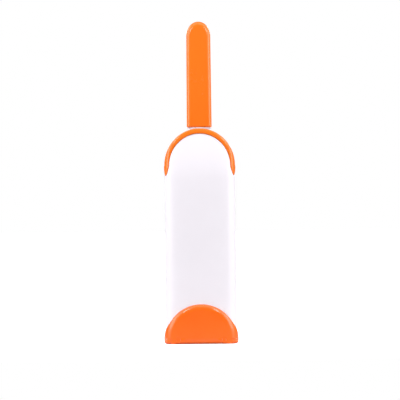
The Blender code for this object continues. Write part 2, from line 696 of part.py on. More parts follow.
def handle_half_depth(z):
    low, high = HANDLE_HALF_DEPTH
    return low + (high - low) * handle_share(z)


def handle_outline(inset, foot_inset):
    """Tapered outline in X and Z with a half-round top."""
    end_z = HANDLE_TOP_Z - HANDLE_END_HEIGHT
    low_half, top_half = (half - inset for half in HANDLE_HALF_WIDTH)
    steps = 16
    points = []
    for i in range(steps + 1):
        turn = math.pi * i / steps
        points.append((top_half * math.cos(turn), end_z + (HANDLE_END_HEIGHT - inset) * math.sin(turn)))
    foot_z = HANDLE_BOTTOM_Z + foot_inset
    points += [(-low_half, foot_z + HANDLE_CORNER), (HANDLE_CORNER - low_half, foot_z),
               (low_half - HANDLE_CORNER, foot_z), (low_half, foot_z + HANDLE_CORNER)]
    return points


def handle_loop(side, wall, turn):
    """One loop of a handle shell's skin: turn 0 is where the flank ends, 90 degrees the flat face."""
    edge_r = HANDLE_EDGE_R - wall
    inset = wall + edge_r * (1 - math.cos(turn))
    foot_inset = wall + HANDLE_FOOT_EDGE * (1 - math.cos(turn))
    depth_in = wall + edge_r * (1 - math.sin(turn))
    return [Vector((x, side * (handle_half_depth(z) - depth_in), z))
            for x, z in handle_outline(inset, foot_inset)]


def build_handle_shell(name, side):
    quarter = math.pi / 2
    outside = [handle_loop(side, 0.0, quarter * share) for share in (1.0, 0.75, 0.5, 0.25, 0.0)]
    seam = [[Vector((p.x, side * SEAM_DEPTH, p.z)) for p in handle_loop(side, wall, 0.0)]
            for wall in (0.0, HANDLE_WALL)]
    inside = [handle_loop(side, HANDLE_WALL, quarter * share) for share in (0.0, 0.5, 1.0)]
    shell = add_object(name, loft(outside + seam + inside), ORANGE)
    tang = superellipse(TANG_HALF[0] + GAP, TANG_HALF[1] + GAP, NECK_POWER, 0.0, 28)
    combine(shell, "DIFFERENCE", prism([(p.x, p.y) for p in tang], "Z", HANDLE_BOTTOM_Z - MM,
                                       HANDLE_BOTTOM_Z + HANDLE_WALL + MM))
    for z in HANDLE_SCREW_Z.values():
        face = handle_half_depth(z)
        low, high = sorted((side * (TANG_HALF[1] + GAP), side * (face - HANDLE_BOSS_INSET)))
        combine(shell, "UNION", cylinder("Y", (0.0, z), HANDLE_BOSS_R, low, high))
        seat = face - SCREW_SINK - SCREW_HEAD_HEIGHT - GAP
        reach = seat if side < 0 else face + MM
        low, high = sorted((side * TANG_HALF[1] / 2, side * reach))
        combine(shell, "DIFFERENCE", cylinder("Y", (0.0, z), SCREW_SHANK_R + GAP, low, high, 12))
        if side > 0:
            combine(shell, "DIFFERENCE", cylinder("Y", (0.0, z), SCREW_HEAD_R + GAP, seat, face + MM))
    return shell


# ---------------------------------------------------------------- assembly

def build_base():
    build_base_cap()
    build_front_shell()
    build_rear_shell()
    build_mouth_ring()
    for prefix, side in (("front", -1), ("rear", 1)):
        build_wiper(prefix, side)
    for hand_name, hand in (("left", -1), ("right", 1)):
        build_screw(f"base_screw_{hand_name}", Vector((hand * BASE_SCREW_X, BASE_SCREW_Y, GAP)),
                    (0, 0, 1), BASE_SCREW_TOP_Z - GAP)
    add_object("door_hinge_pin", cylinder("X", (HINGE_Y, HINGE_Z), PIN_R, -PIN_HALF_LENGTH,
                                          PIN_HALF_LENGTH, 12), STEEL)


def build_brush():
    pieces = [build_paddle_frame()]
    for prefix, side in (("front", -1), ("rear", 1)):
        pieces += build_pad(prefix, side)
        pieces.append(build_handle_shell(f"handle_{prefix}_shell", side))
    for name, z in HANDLE_SCREW_Z.items():
        face = handle_half_depth(z) - SCREW_SINK
        length = 2 * face - SCREW_HEAD_HEIGHT - 3 * GAP
        pieces.append(build_screw(f"handle_screw_{name}", Vector((0, face, z)), (0, -1, 0), length))
    return pieces


def main():
    for obj in list(bpy.data.objects):
        bpy.data.objects.remove(obj, do_unlink=True)
    build_base()
    axis_empty("door_hinge_axis", Vector((0, HINGE_Y, HINGE_Z)), [build_fur_door()])
    axis_empty("brush_slide_axis", Vector((0, 0, CREST_Z)), build_brush())


main()
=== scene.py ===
"""Looks of the double-sided lint brush in its self-cleaning base: fine meshes, materials, light."""
import json
import math

import bmesh
import bpy
from mathutils import Matrix, Vector, noise


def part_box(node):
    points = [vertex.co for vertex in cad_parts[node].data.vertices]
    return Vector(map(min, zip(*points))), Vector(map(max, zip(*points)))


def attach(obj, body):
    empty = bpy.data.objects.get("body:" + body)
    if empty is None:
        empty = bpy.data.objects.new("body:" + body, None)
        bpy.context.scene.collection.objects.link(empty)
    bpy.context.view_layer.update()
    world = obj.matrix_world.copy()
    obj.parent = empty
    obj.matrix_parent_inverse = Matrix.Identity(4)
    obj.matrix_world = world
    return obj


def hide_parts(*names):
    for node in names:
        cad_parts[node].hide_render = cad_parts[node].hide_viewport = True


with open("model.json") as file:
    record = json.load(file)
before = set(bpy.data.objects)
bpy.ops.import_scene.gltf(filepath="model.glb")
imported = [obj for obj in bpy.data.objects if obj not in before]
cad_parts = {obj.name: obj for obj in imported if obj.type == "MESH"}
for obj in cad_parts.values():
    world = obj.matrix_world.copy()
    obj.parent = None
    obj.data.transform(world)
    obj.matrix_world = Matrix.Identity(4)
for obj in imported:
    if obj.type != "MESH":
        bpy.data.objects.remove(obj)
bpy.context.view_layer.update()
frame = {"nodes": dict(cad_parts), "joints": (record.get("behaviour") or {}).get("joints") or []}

MM = 0.001
GAP = 0.3 * MM
SLIT = 0.12 * MM           # parting line one sees, where the CAD leaves its gap

# Sleeve, the same surface as the CAD shells
SLEEVE_HALF_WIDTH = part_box("front_shell")[1].x
SLEEVE_HALF_DEPTH = -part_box("front_shell")[0].y
SLEEVE_BOTTOM_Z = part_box("front_shell")[0].z
SLEEVE_POWER = 4.0
SLEEVE_WALL = 2.4 * MM
LEAN_START_Z = 165.0 * MM
LEAN_IN = 6.8 * MM
LEAN_POWER = 1.6
SEAM_DEPTH = GAP / 2

# Mouth ring
CREST_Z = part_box("mouth_ring")[1].z
RING_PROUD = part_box("mouth_ring")[1].x - SLEEVE_HALF_WIDTH
RING_CROWN = 0.6 * MM
ARCH_OUTER = (35.4 * MM, 36.3 * MM)
ARCH_INNER = (30.4 * MM, 31.2 * MM)
ARCH_Z = CREST_Z - ARCH_OUTER[1]
TIP_Y = 12.4 * MM
TIP_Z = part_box("mouth_ring")[0].z
SIDE_TOP_Z = 177.0 * MM
SIDE_LOW_Z = 173.7 * MM
SHOULDER_GAP = 0.35 * MM
TONGUE_OUTER = 1.5 * MM
TONGUE_SHARES = (0.2, 0.43, 0.66)
GROOVE_INSET = TONGUE_OUTER - GAP
GROOVE_SHARES = (0.74, 0.43, 0.2, 0.0)
BEAD_ROOT = 0.2 * MM       # inset of the bead's lower edge
BEAD_STEPS = 12
BEAD_FULLNESS = 0.8        # below 1 the bead is fuller than a half-round
ROLLED_RIM = [(0.995, 0.25 * MM), (1.0, 0.6 * MM), (1.0, SLEEVE_WALL - 0.7 * MM),
              (0.985, SLEEVE_WALL - 0.25 * MM), (0.94, SLEEVE_WALL)]  # share of the band, inset

# Foot: cap and half-moons
FOOT_HALF_WIDTH = 36.9 * MM
FOOT_HALF_DEPTH = -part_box("fur_door")[0].y
FOOT_POWER = 4.4
FOOT_TOP_Z = 5.3 * MM
FOOT_EDGE_R = 2.8 * MM
CAP_INSET = 0.05 * MM
CAP_CHAMFER = 0.25 * MM
FLOOR_THICK = 3.0 * MM
SPIGOT_TOP_Z = 12.0 * MM
SPIGOT_WALL = 1.8 * MM
MOON_TOP_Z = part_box("fur_door")[1].z
MOON_R = 35.5 * MM
MOON_Z = MOON_TOP_Z - MOON_R
MOON_EDGE = 6.0 * MM
MOON_ROUND_R = 8.0 * MM
MOON_FLARE = 1.35 * MM
FLARE_Z = (14.0 * MM, 23.0 * MM)
MOON_ROOT_Y = GAP / 2
OUTLET_R = 30.7 * MM
OUTLET_BACK_Y = -5.0 * MM
LIP_R = (28.1 * MM, 29.9 * MM)
LIP_BACK_Y = -19.3 * MM
LIP_INSET = 0.8 * MM
LIP_SPAN = (20, 160)       # degrees

# Door hinge
DOOR_JOINT = next(joint for joint in frame["joints"] if joint["name"] == "door_hinge")
HINGE_Y, HINGE_Z = DOOR_JOINT["pos_m"][1:]
NOTCH_HALF_WIDTH = 30.2 * MM
NOTCH_BACK_Y = -16.6 * MM
BARREL_R = 3.9 * MM
BARREL_HALF_LENGTH = NOTCH_HALF_WIDTH - SLIT
KNUCKLE_X = (20.6 * MM, 24.2 * MM)
KNUCKLE_FOOT = [(-21.4 * MM, 0.0), (-16.0 * MM, 0.0), (-16.0 * MM, 2.6 * MM)]
SLOT_R = BARREL_R + SLIT
PIN_HALF_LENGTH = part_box("door_hinge_pin")[1].x
PIN_HOLE_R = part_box("door_hinge_pin")[1].z - HINGE_Z + GAP
SNAP_WIDTH = 1.9 * MM

# Base screws and their bosses
SCREW_HEAD_R = 2.6 * MM
SCREW_SHANK_R = 1.3 * MM
BASE_SCREW_X = 21.0 * MM
BASE_SCREW_Y = 15.2 * MM
BASE_SCREW_TOP_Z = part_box("base_screw_left")[1].z
SHELL_BOSS_R = 2.8 * MM
SHELL_BOSS_TOP_Z = 20.0 * MM
BOSS_RIB = 2.0 * MM
CAP_BOSS_R = 3.4 * MM
CAP_BOSS_Y = BASE_SCREW_Y - 0.4 * MM
BOSS_POCKET = (7.2 * MM, 11.0 * MM, 18.9 * MM)
HEAD_SEAT_Z = 2.3 * MM

# Inside the sleeve
GUIDE_Y = (7.2 * MM, 8.7 * MM)
GUIDE_X = (26.7 * MM, 33.2 * MM)
GUIDE_Z = (30.0 * MM, 160.0 * MM)
SEAM_LIP_Y = (-2.5 * MM, 4.0 * MM)
SEAM_LIP_Z = (20.0 * MM, 160.0 * MM)
SEAM_LIP_THICK = 1.0 * MM
SEAM_ROOT_Y = (1.5 * MM, 3.5 * MM)
WIPER_LOW, WIPER_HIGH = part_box("rear_wiper_carrier")
LEDGE = 1.6 * MM
LEDGE_Y = 11.6 * MM
STANDOFF_SHARE = 0.6       # where a wiper's stand-offs are, of its half-width

# Paddle
PADDLE_HALF_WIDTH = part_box("paddle_frame")[1].x
PADDLE_HALF_DEPTH = 6.5 * MM
PADDLE_EDGE = 2.4 * MM
PADDLE_BOTTOM_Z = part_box("paddle_frame")[0].z
PADDLE_CORNER = 10.0 * MM
PADDLE_ARCH_Z = 176.0 * MM
PAD_HALF_WIDTH = 25.0 * MM
PAD_BOTTOM_Z = 50.0 * MM
PAD_ARCH_Z = 163.0 * MM
RECESS_Y = 4.7 * MM
RECESS_REACH = 12.0 * MM
RECESS_CORNER = PADDLE_CORNER * 0.7
PADDLE_HOLE_REACH = 9.0 * MM
STEM_POWER = 3.0
STEM_POINTS = 72
NECK_STEPS = 12
TANG_HALF = (7.0 * MM, 4.0 * MM)
TANG_TAPER = 0.9
TANG_TOP_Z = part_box("paddle_frame")[1].z
FLANGE_HALF = (11.9 * MM, 9.6 * MM)
FLANGE_THICK = 1.1 * MM
FLANGE_EDGE = 0.2 * MM
NECK_LOW = (14.0 * MM, 5.5 * MM, 192.0 * MM)
NECK_HIGH = (9.0 * MM, 7.0 * MM, 213.2 * MM)

# Soft goods: trims from the recess or the carrier, rounded rims, and the spacing of their loops
LINT_TRIM = 0.8 * MM
PAD_FOAM_TRIM = 1.2 * MM
WIPER_TRIM = 1.5 * MM
LINT_CORNER = 6.7 * MM
WIPER_CORNER = 4.0 * MM
LEAST_CORNER = 0.4 * MM
LOOP_STOP = 0.5 * MM       # how far from the middle the loops end
PILE_EDGE = 0.6 * MM
LINT_STEP = 0.8 * MM
WIPER_STEP = 0.9 * MM
FOAM_EDGE = 0.4 * MM
FOAM_STEP = 2.0 * MM

# Handle
HANDLE_LOW, HANDLE_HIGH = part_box("handle_rear_shell")
HANDLE_HALF_WIDTH = (HANDLE_HIGH.x, HANDLE_HIGH.x - 0.4 * MM)
HANDLE_HALF_DEPTH = (HANDLE_HIGH.y, HANDLE_HIGH.y - 1.5 * MM)
HANDLE_END_HEIGHT = 14.0 * MM
HANDLE_EDGE_R = 4.5 * MM
HANDLE_FOOT_R = 1.2 * MM
HANDLE_WALL = 2.0 * MM
HANDLE_SCREW_Z = [sum(corner.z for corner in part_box(f"handle_screw_{name}")) / 2
                  for name in ("lower", "upper")]
HANDLE_BOSS_R = 3.6 * MM
HANDLE_BOSS_INSET = 1.0 * MM
HANDLE_FOOT_EDGE = 1.0 * MM
HANDLE_HOLE_START = 3.0 * MM
COUNTERBORE = 2.6 * MM
HANDLE_SEAM_EDGE = ((0.0, 0.5 * MM), (0.06 * MM, 0.28 * MM), (0.22 * MM, SEAM_DEPTH),
                    (HANDLE_WALL, SEAM_DEPTH))  # inset and distance from the seam's plane
HANDLE_END_STEPS = 56
HANDLE_EDGE_STEPS = 14

# Fineness
RING_POINTS = 144
ARCH_STEPS = 36
SIDE_STEPS = 24
LEAN_ROWS = 12
WALL_SHARES = (0.0, 0.3, 0.6, 0.85)     # rows of a shell's straight wall
MOON_FLAT_SHARES = (0.25, 0.5, 0.75, 0.9, 1.0)
MOON_EDGE_STEPS = 12
MOON_TURNS = 120
LIP_STEPS = 60
OUTLET_STEPS = 64
FOOT_EDGE_STEPS = 6
PADDLE_EDGE_STEPS = 8
PADDLE_END_STEPS = 64
SOFT_EDGE_STEPS = 4
ROUND_SIDES = 48
SHARP_ANGLE = 32
BEYOND = 50.0 * MM         # reach of a cutter past the whole piece


# ---------------------------------------------------------------- materials

class Nodes:
    """Short hand for building a material's node tree."""

    def __init__(self, name):
        self.material = bpy.data.materials.new(name)
        self.material.use_nodes = True
        self.tree = self.material.node_tree
        self.shader = self.tree.nodes["Principled BSDF"]
        self.place = self.tree.nodes.new("ShaderNodeTexCoord").outputs["Object"]

    def link(self, output, target):
        self.tree.links.new(output, target)

    def add(self, kind, **settings):
        node = self.tree.nodes.new(kind)
        for key, value in settings.items():
            setattr(node, key, value)
        return node

    def stretched(self, scale):
        """Object coordinates, scaled along each axis."""
        mapping = self.add("ShaderNodeMapping")
        mapping.inputs["Scale"].default_value = scale
        self.link(self.place, mapping.inputs["Vector"])
        return mapping.outputs["Vector"]

    def noise(self, scale, detail=3.0, rough=0.55, vector=None, distortion=0.0):
        node = self.add("ShaderNodeTexNoise")
        for name, value in (("Scale", scale), ("Detail", detail), ("Roughness", rough),
                            ("Distortion", distortion)):
            node.inputs[name].default_value = value
        self.link(vector or self.place, node.inputs["Vector"])
        return node.outputs["Fac"]

    def ramp(self, factor, stops):
        """Colour ramp from (position, colour) stops."""
        node = self.add("ShaderNodeValToRGB")
        elements = node.color_ramp.elements
        while len(elements) < len(stops):
            elements.new(0.5)
        for element, (position, colour) in zip(elements, stops):
            element.position = position
            element.color = (*colour, 1.0)
        self.link(factor, node.inputs["Fac"])
        return node.outputs["Color"]

    def spread(self, factor, low, high):
        node = self.add("ShaderNodeMapRange")
        for name, value in (("From Min", 0.3), ("From Max", 0.7), ("To Min", low), ("To Max", high)):
            node.inputs[name].default_value = value
        self.link(factor, node.inputs["Value"])
        return node.outputs["Result"]

    def bump(self, height, strength, distance, below=None):
        node = self.add("ShaderNodeBump")
        node.inputs["Strength"].default_value = strength
        node.inputs["Distance"].default_value = distance
        self.link(height, node.inputs["Height"])
        if below:
            self.link(below, node.inputs["Normal"])
        return node.outputs["Normal"]


def moulded_plastic(name, shades, roughness, specular, peel=0.10):
    """Injection-moulded plastic: faint flow clouds, an even satin and a fine orange-peel skin."""
    nodes = Nodes(name)
    clouds = nodes.noise(28.0, detail=4.0)
    speckle = nodes.noise(900.0, detail=2.0)
    mixed = nodes.add("ShaderNodeMath", operation="MULTIPLY_ADD")
    mixed.inputs[1].default_value = 0.25
    nodes.link(speckle, mixed.inputs[0])
    scaled = nodes.add("ShaderNodeMath", operation="MULTIPLY")
    scaled.inputs[1].default_value = 0.75
    nodes.link(clouds, scaled.inputs[0])
    nodes.link(scaled.outputs[0], mixed.inputs[2])
    dark, light = shades
    nodes.link(nodes.ramp(mixed.outputs[0], ((0.3, dark), (0.7, light))),
               nodes.shader.inputs["Base Color"])
    handling = nodes.noise(60.0, detail=5.0, rough=0.7)
    nodes.link(nodes.spread(handling, roughness - 0.04, roughness + 0.05),
               nodes.shader.inputs["Roughness"])
    skin = nodes.bump(nodes.noise(1400.0, detail=1.0), peel, 0.05 * MM)
    sag = nodes.bump(nodes.noise(90.0, detail=1.0), peel * 0.6, 0.10 * MM, below=skin)
    nodes.link(sag, nodes.shader.inputs["Normal"])
    nodes.shader.inputs["Specular IOR Level"].default_value = specular
    return nodes.material


def velour(name, shades):
    """Directional pile: short fibres leaning down, streaked where they have been brushed."""
    nodes = Nodes(name)
    fibres = nodes.noise(2600.0, detail=2.0, vector=nodes.stretched((1.0, 1.0, 0.45)))
    streaks = nodes.noise(70.0, detail=4.0, rough=0.6, vector=nodes.stretched((1.0, 1.0, 0.22)))
    mixed = nodes.add("ShaderNodeMath", operation="MULTIPLY_ADD")
    mixed.inputs[1].default_value = 0.5
    half = nodes.add("ShaderNodeMath", operation="MULTIPLY")
    half.inputs[1].default_value = 0.5
    nodes.link(streaks, half.inputs[0])
    nodes.link(fibres, mixed.inputs[0])
    nodes.link(half.outputs[0], mixed.inputs[2])
    dark, middle, light = shades
    nodes.link(nodes.ramp(mixed.outputs[0], ((0.36, dark), (0.5, middle), (0.64, light))),
               nodes.shader.inputs["Base Color"])
    nodes.link(nodes.spread(streaks, 0.78, 0.95), nodes.shader.inputs["Roughness"])
    nodes.link(nodes.bump(fibres, 0.8, 0.25 * MM), nodes.shader.inputs["Normal"])
    nodes.shader.inputs["Sheen Weight"].default_value = 0.55
    nodes.shader.inputs["Sheen Roughness"].default_value = 0.35
    nodes.shader.inputs["Sheen Tint"].default_value = (1.0, 0.55, 0.45, 1.0)
    nodes.shader.inputs["Specular IOR Level"].default_value = 0.2
    return nodes.material


def cell_foam(name, shades):
    """Closed-cell foam: small round pores, darker towards their middles as painted shade, over a soft
    mottle.
    """
    nodes = Nodes(name)
    pores = nodes.add("ShaderNodeTexVoronoi")
    pores.inputs["Scale"].default_value = 1600.0
    nodes.link(nodes.place, pores.inputs["Vector"])
    dark, light = shades
    # Colour darkest where the pores sink deepest: painted shade in the pores.
    nodes.link(nodes.ramp(pores.outputs["Distance"], ((0.1, dark), (0.6, light))),
               nodes.shader.inputs["Base Color"])
    nodes.link(nodes.spread(nodes.noise(120.0), 0.85, 0.98), nodes.shader.inputs["Roughness"])
    nodes.link(nodes.bump(pores.outputs["Distance"], 0.6, 0.2 * MM), nodes.shader.inputs["Normal"])
    return nodes.material


def plated_steel(name, shades):
    """Zinc-plated steel with fine turning marks and dull patches."""
    nodes = Nodes(name)
    marks = nodes.noise(1200.0, detail=3.0, vector=nodes.stretched((1.0, 1.0, 0.15)))
    dark, light = shades
    nodes.link(nodes.ramp(marks, ((0.3, dark), (0.7, light))), nodes.shader.inputs["Base Color"])
    nodes.link(nodes.spread(nodes.noise(300.0), 0.22, 0.42), nodes.shader.inputs["Roughness"])
    nodes.link(nodes.bump(marks, 0.15, 0.05 * MM), nodes.shader.inputs["Normal"])
    nodes.shader.inputs["Metallic"].default_value = 1.0
    return nodes.material


ORANGE = moulded_plastic("orange_abs", ((0.98, 0.185, 0.0085), (1.0, 0.200, 0.0105)), 0.24, 0.5)
# The foot's cap and door: the same orange, darker and redder than on the handle and the ring, and a little
# glossier.
FOOT_ORANGE = moulded_plastic("foot_orange_abs", ((0.98, 0.145, 0.0075), (1.0, 0.158, 0.0095)), 0.19, 0.5)
WHITE = moulded_plastic("white_abs", ((0.885, 0.845, 0.90), (0.91, 0.87, 0.925)), 0.36, 0.5, 0.07)
VELOUR = velour("rust_velour", ((0.16, 0.012, 0.010), (0.36, 0.028, 0.018), (0.55, 0.07, 0.04)))
FOAM = cell_foam("grey_foam", ((0.06, 0.06, 0.065), (0.24, 0.24, 0.26)))
STEEL = plated_steel("zinc_steel", ((0.48, 0.48, 0.50), (0.70, 0.70, 0.72)))


# ---------------------------------------------------------------- objects

def add_object(name, bm, smooth_angle=35):
    """Object from a mesh in world coordinates."""
    bmesh.ops.recalc_face_normals(bm, faces=bm.faces)
    mesh = bpy.data.meshes.new(name)
    bm.to_mesh(mesh)
    bm.free()
    obj = bpy.data.objects.new(name, mesh)
    bpy.context.scene.collection.objects.link(obj)
    mesh.shade_smooth()
    mesh.set_sharp_from_angle(angle=math.radians(smooth_angle))
    return obj


def combine(target, operation, *tools):
    """Boolean the target with each tool at once, and drop the tool."""
    for tool in tools:
        if isinstance(tool, bmesh.types.BMesh):
            tool = add_object("tool", tool)
        modifier = target.modifiers.new("combine", "BOOLEAN")
        modifier.operation = operation
        modifier.object = tool
        apply_modifiers(target)
        bpy.data.objects.remove(tool, do_unlink=True)
    return target


def apply_modifiers(obj):
    """Keep the evaluated mesh as the object's own."""
    bpy.context.view_layer.update()
    evaluated = obj.evaluated_get(bpy.context.evaluated_depsgraph_get())
    mesh = bpy.data.meshes.new_from_object(evaluated)
    obj.modifiers.clear()
    old, obj.data = obj.data, mesh
    bpy.data.meshes.remove(old)


def finish_piece(obj, material, body, *nodes):
    """Material, body and the CAD nodes the piece stands for."""
    obj.data.materials.clear()
    obj.data.materials.append(material)
    obj.data.set_sharp_from_angle(angle=math.radians(SHARP_ANGLE))
    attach(obj, body)
    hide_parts(*nodes)
    return obj


# ---------------------------------------------------------------- solids

def loft(rings, closed=False):
    """Skin a row of point loops; an open row is capped at both ends."""
    bm = bmesh.new()
    loops = [[bm.verts.new(point) for point in ring] for ring in rings]
    following = loops[1:] + (loops[:1] if closed else [])
    for near, far in zip(loops, following):
        for i in range(len(near)):
            j = (i + 1) % len(near)
            bm.faces.new((near[i], near[j], far[j], far[i]))
    if not closed:
        bm.faces.new(reversed(loops[0]))
        bm.faces.new(loops[-1])
    return bm


def prism(outline, axis, low, high):
    """Solid between two planes square to an axis; the outline holds the other two coordinates."""
    def place(point, along):
        coordinates = list(point)
        coordinates.insert("XYZ".index(axis), along)
        return Vector(coordinates)
    return loft([[place(point, along) for point in outline] for along in (low, high)])


def circle(centre, radius, sides=ROUND_SIDES):
    turns = [2 * math.pi * i / sides for i in range(sides)]
    return [(centre[0] + radius * math.cos(t), centre[1] + radius * math.sin(t)) for t in turns]


def cylinder(axis, centre, radius, low, high):
    return prism(circle(centre, radius), axis, low, high)


def add_box(bm, low, high):
    """Box between two corners, as one more body of the mesh."""
    size = Vector(high) - Vector(low)
    centre = (Vector(high) + Vector(low)) / 2
    matrix = Matrix.Translation(centre) @ Matrix.Diagonal((*size, 1.0))
    bmesh.ops.create_cube(bm, size=1.0, matrix=matrix)


def box(low, high):
    bm = bmesh.new()
    add_box(bm, low, high)
    return bm


def hull(points):
    bm = bmesh.new()
    for point in points:
        bm.verts.new(point)
    found = bmesh.ops.convex_hull(bm, input=bm.verts)
    inside = [item for item in found["geom_interior"] if isinstance(item, bmesh.types.BMVert)]
    bmesh.ops.delete(bm, geom=inside, context="VERTS")
    return bm


def superellipse(half_x, half_y, power, z, count=RING_POINTS):
    points = []
    for i in range(count):
        turn = 2 * math.pi * i / count
        cosine, sine = math.cos(turn), math.sin(turn)
        x = half_x * math.copysign(abs(cosine) ** (2 / power), cosine)
        y = half_y * math.copysign(abs(sine) ** (2 / power), sine)
        points.append(Vector((x, y, z)))
    return points


def arc(centre, radius, start, end, steps):
    """Points of an arc, from one angle in degrees to another, both included."""
    turns = [math.radians(start + (end - start) * i / steps) for i in range(steps + 1)]
    return [(centre[0] + radius * math.cos(t), centre[1] + radius * math.sin(t)) for t in turns]


def arched_panel(half_width, bottom_z, arch_z, corner, steps=48):
    """Outline in X and Z with a half-round top and rounded bottom corners."""
    points = arc((0.0, arch_z), half_width, 0, 180, steps)
    points += arc((corner - half_width, bottom_z + corner), corner, 180, 270, 10)
    points += arc((half_width - corner, bottom_z + corner), corner, 270, 360, 10)
    return points


def rounded_panel(half_width, low_z, high_z, corner):
    """Rectangle in X and Z with rounded corners."""
    points = []
    for x_side, z_edge, z_side, start in ((1, high_z, -1, 0), (-1, high_z, -1, 90),
                                          (-1, low_z, 1, 180), (1, low_z, 1, 270)):
        centre = (x_side * (half_width - corner), z_edge + z_side * corner)
        points += arc(centre, corner, start, start + 90, 8)
    return points


def resampled(outline, count):
    """The closed outline again, as evenly spaced points."""
    points = [Vector(point) for point in outline]
    closed = points + points[:1]
    lengths = [(b - a).length for a, b in zip(closed, closed[1:])]
    step = sum(lengths) / count
    found, index, start = [], 0, 0.0
    for i in range(count):
        along = i * step
        while along > start + lengths[index] and index < len(lengths) - 1:
            start += lengths[index]
            index += 1
        share = (along - start) / lengths[index] if lengths[index] else 0.0
        found.append(closed[index].lerp(closed[index + 1], share))
    return found


# ---------------------------------------------------------------- sleeve surface

def half_depth(z):
    lean = max(0.0, (z - LEAN_START_Z) / (CREST_Z - LEAN_START_Z))
    return SLEEVE_HALF_DEPTH - LEAN_IN * lean ** LEAN_POWER


def sleeve_point(theta, z, inset=0.0):
    """Point of the sleeve's skin, moved in; theta is 0 at the front and 90 degrees at +X."""
    sine, cosine = math.sin(theta), math.cos(theta)
    power = 2 / SLEEVE_POWER
    crown = RING_CROWN * max(-inset, 0.0) / RING_PROUD
    x = (SLEEVE_HALF_WIDTH - inset) * math.copysign(abs(sine) ** power, sine)
    y = -(half_depth(z) - inset + crown) * math.copysign(abs(cosine) ** power, cosine)
    return Vector((x, y, z))


def theta_at_width(x, half_width):
    return math.asin((x / half_width) ** (SLEEVE_POWER / 2))


def theta_at_depth(y, z):
    return math.acos((y / half_depth(z)) ** (SLEEVE_POWER / 2))


def arch_edge(size, turn, half_width):
    """Where an edge of the ring's arch lies on the sleeve, as theta and z."""
    half_span, height = size
    return theta_at_width(half_span * math.sin(turn), half_width), ARCH_Z + height * math.cos(turn)


def depth_of(theta, z):
    return half_depth(z) * math.cos(theta) ** (2 / SLEEVE_POWER)


def leg_edge(start, share, seam):
    """The lower edge past the arch: down the corner to the tip, then up to the middle of the side."""
    theta, start_z = start
    if share <= 0.5:
        turn = math.pi * share
        y = TIP_Y + (depth_of(theta, start_z) - TIP_Y) * math.cos(turn)
        z = start_z - (start_z - TIP_Z) * math.sin(turn)
    else:
        turn = math.pi * (share - 0.5)
        y = max(TIP_Y * 2 * (1 - share), seam)
        z = TIP_Z + (SIDE_LOW_Z - TIP_Z) * math.sin(turn)
    return theta_at_depth(y, z), z


def side_edge(start, share, seam):
    """The upper edge past the arch, sinking a little to the middle of the side."""
    theta, start_z = start
    y = max(depth_of(theta, start_z) * (1 - share), seam)
    z = start_z - (start_z - SIDE_TOP_Z) * share
    return theta_at_depth(y, z), z


def mouth_quarter(seam=0.0):
    """Lower and upper edge of the ring's band, slice by slice from the crest to the side."""
    slices = []
    for i in range(ARCH_STEPS + 1):
        turn = math.pi / 2 * i / ARCH_STEPS
        slices.append((arch_edge(ARCH_INNER, turn, SLEEVE_HALF_WIDTH),
                       arch_edge(ARCH_OUTER, turn, SLEEVE_HALF_WIDTH + RING_PROUD)))
    lower_start, upper_start = slices[-1]
    for i in range(1, SIDE_STEPS + 1):
        share = i / SIDE_STEPS
        slices.append((leg_edge(lower_start, share, seam), side_edge(upper_start, share, seam)))
    return slices


def mirrored(slices, turn):
    """Slices with theta replaced by turn(theta)."""
    return [tuple((turn(theta), z) for theta, z in edges) for edges in slices]


def on_band(edges, share, inset):
    """Point of the sleeve across the band: share 0 is its lower edge and 1 its upper edge."""
    (low_theta, low_z), (high_theta, high_z) = edges
    theta = low_theta + (high_theta - low_theta) * share
    z = low_z + (high_z - low_z) * share
    return sleeve_point(theta, z, inset)


def sleeve_solid(grow, low_z, high_z):
    half_x, half_y = SLEEVE_HALF_WIDTH + grow, SLEEVE_HALF_DEPTH + grow
    return loft([superellipse(half_x, half_y, SLEEVE_POWER, z) for z in (low_z, high_z)])


def foot_solid(inset, low_z, high_z):
    half_x, half_y = FOOT_HALF_WIDTH - inset, FOOT_HALF_DEPTH - inset
    return loft([superellipse(half_x, half_y, FOOT_POWER, z) for z in (low_z, high_z)])


# ---------------------------------------------------------------- base pieces

def shell_column(edges):
    """One upright slice of a shell's wall, from the outside foot over the tongue and down."""
    band = on_band(edges, 1.0, 0.0) - on_band(edges, 0.0, 0.0)
    shoulder = -SHOULDER_GAP / band.length
    (low_theta, low_z), (high_theta, high_z) = edges
    theta = low_theta + (high_theta - low_theta) * shoulder
    top_z = low_z + (high_z - low_z) * shoulder
    bend_z = min(LEAN_START_Z, top_z) - GAP
    rows = [SLEEVE_BOTTOM_Z + bend_z * share for share in WALL_SHARES]
    rows += [bend_z + (top_z - bend_z) * i / LEAN_ROWS for i in range(LEAN_ROWS)]
    outside = [sleeve_point(theta, z) for z in rows]
    shares = (shoulder, *TONGUE_SHARES)
    rim = [on_band(edges, shoulder, 0.0)]
    rim += [on_band(edges, share, TONGUE_OUTER) for share in shares]
    rim += [on_band(edges, share, SLEEVE_WALL) for share in reversed(shares)]
    inside = [sleeve_point(theta, z, SLEEVE_WALL) for z in reversed(rows)]
    return outside + rim + inside


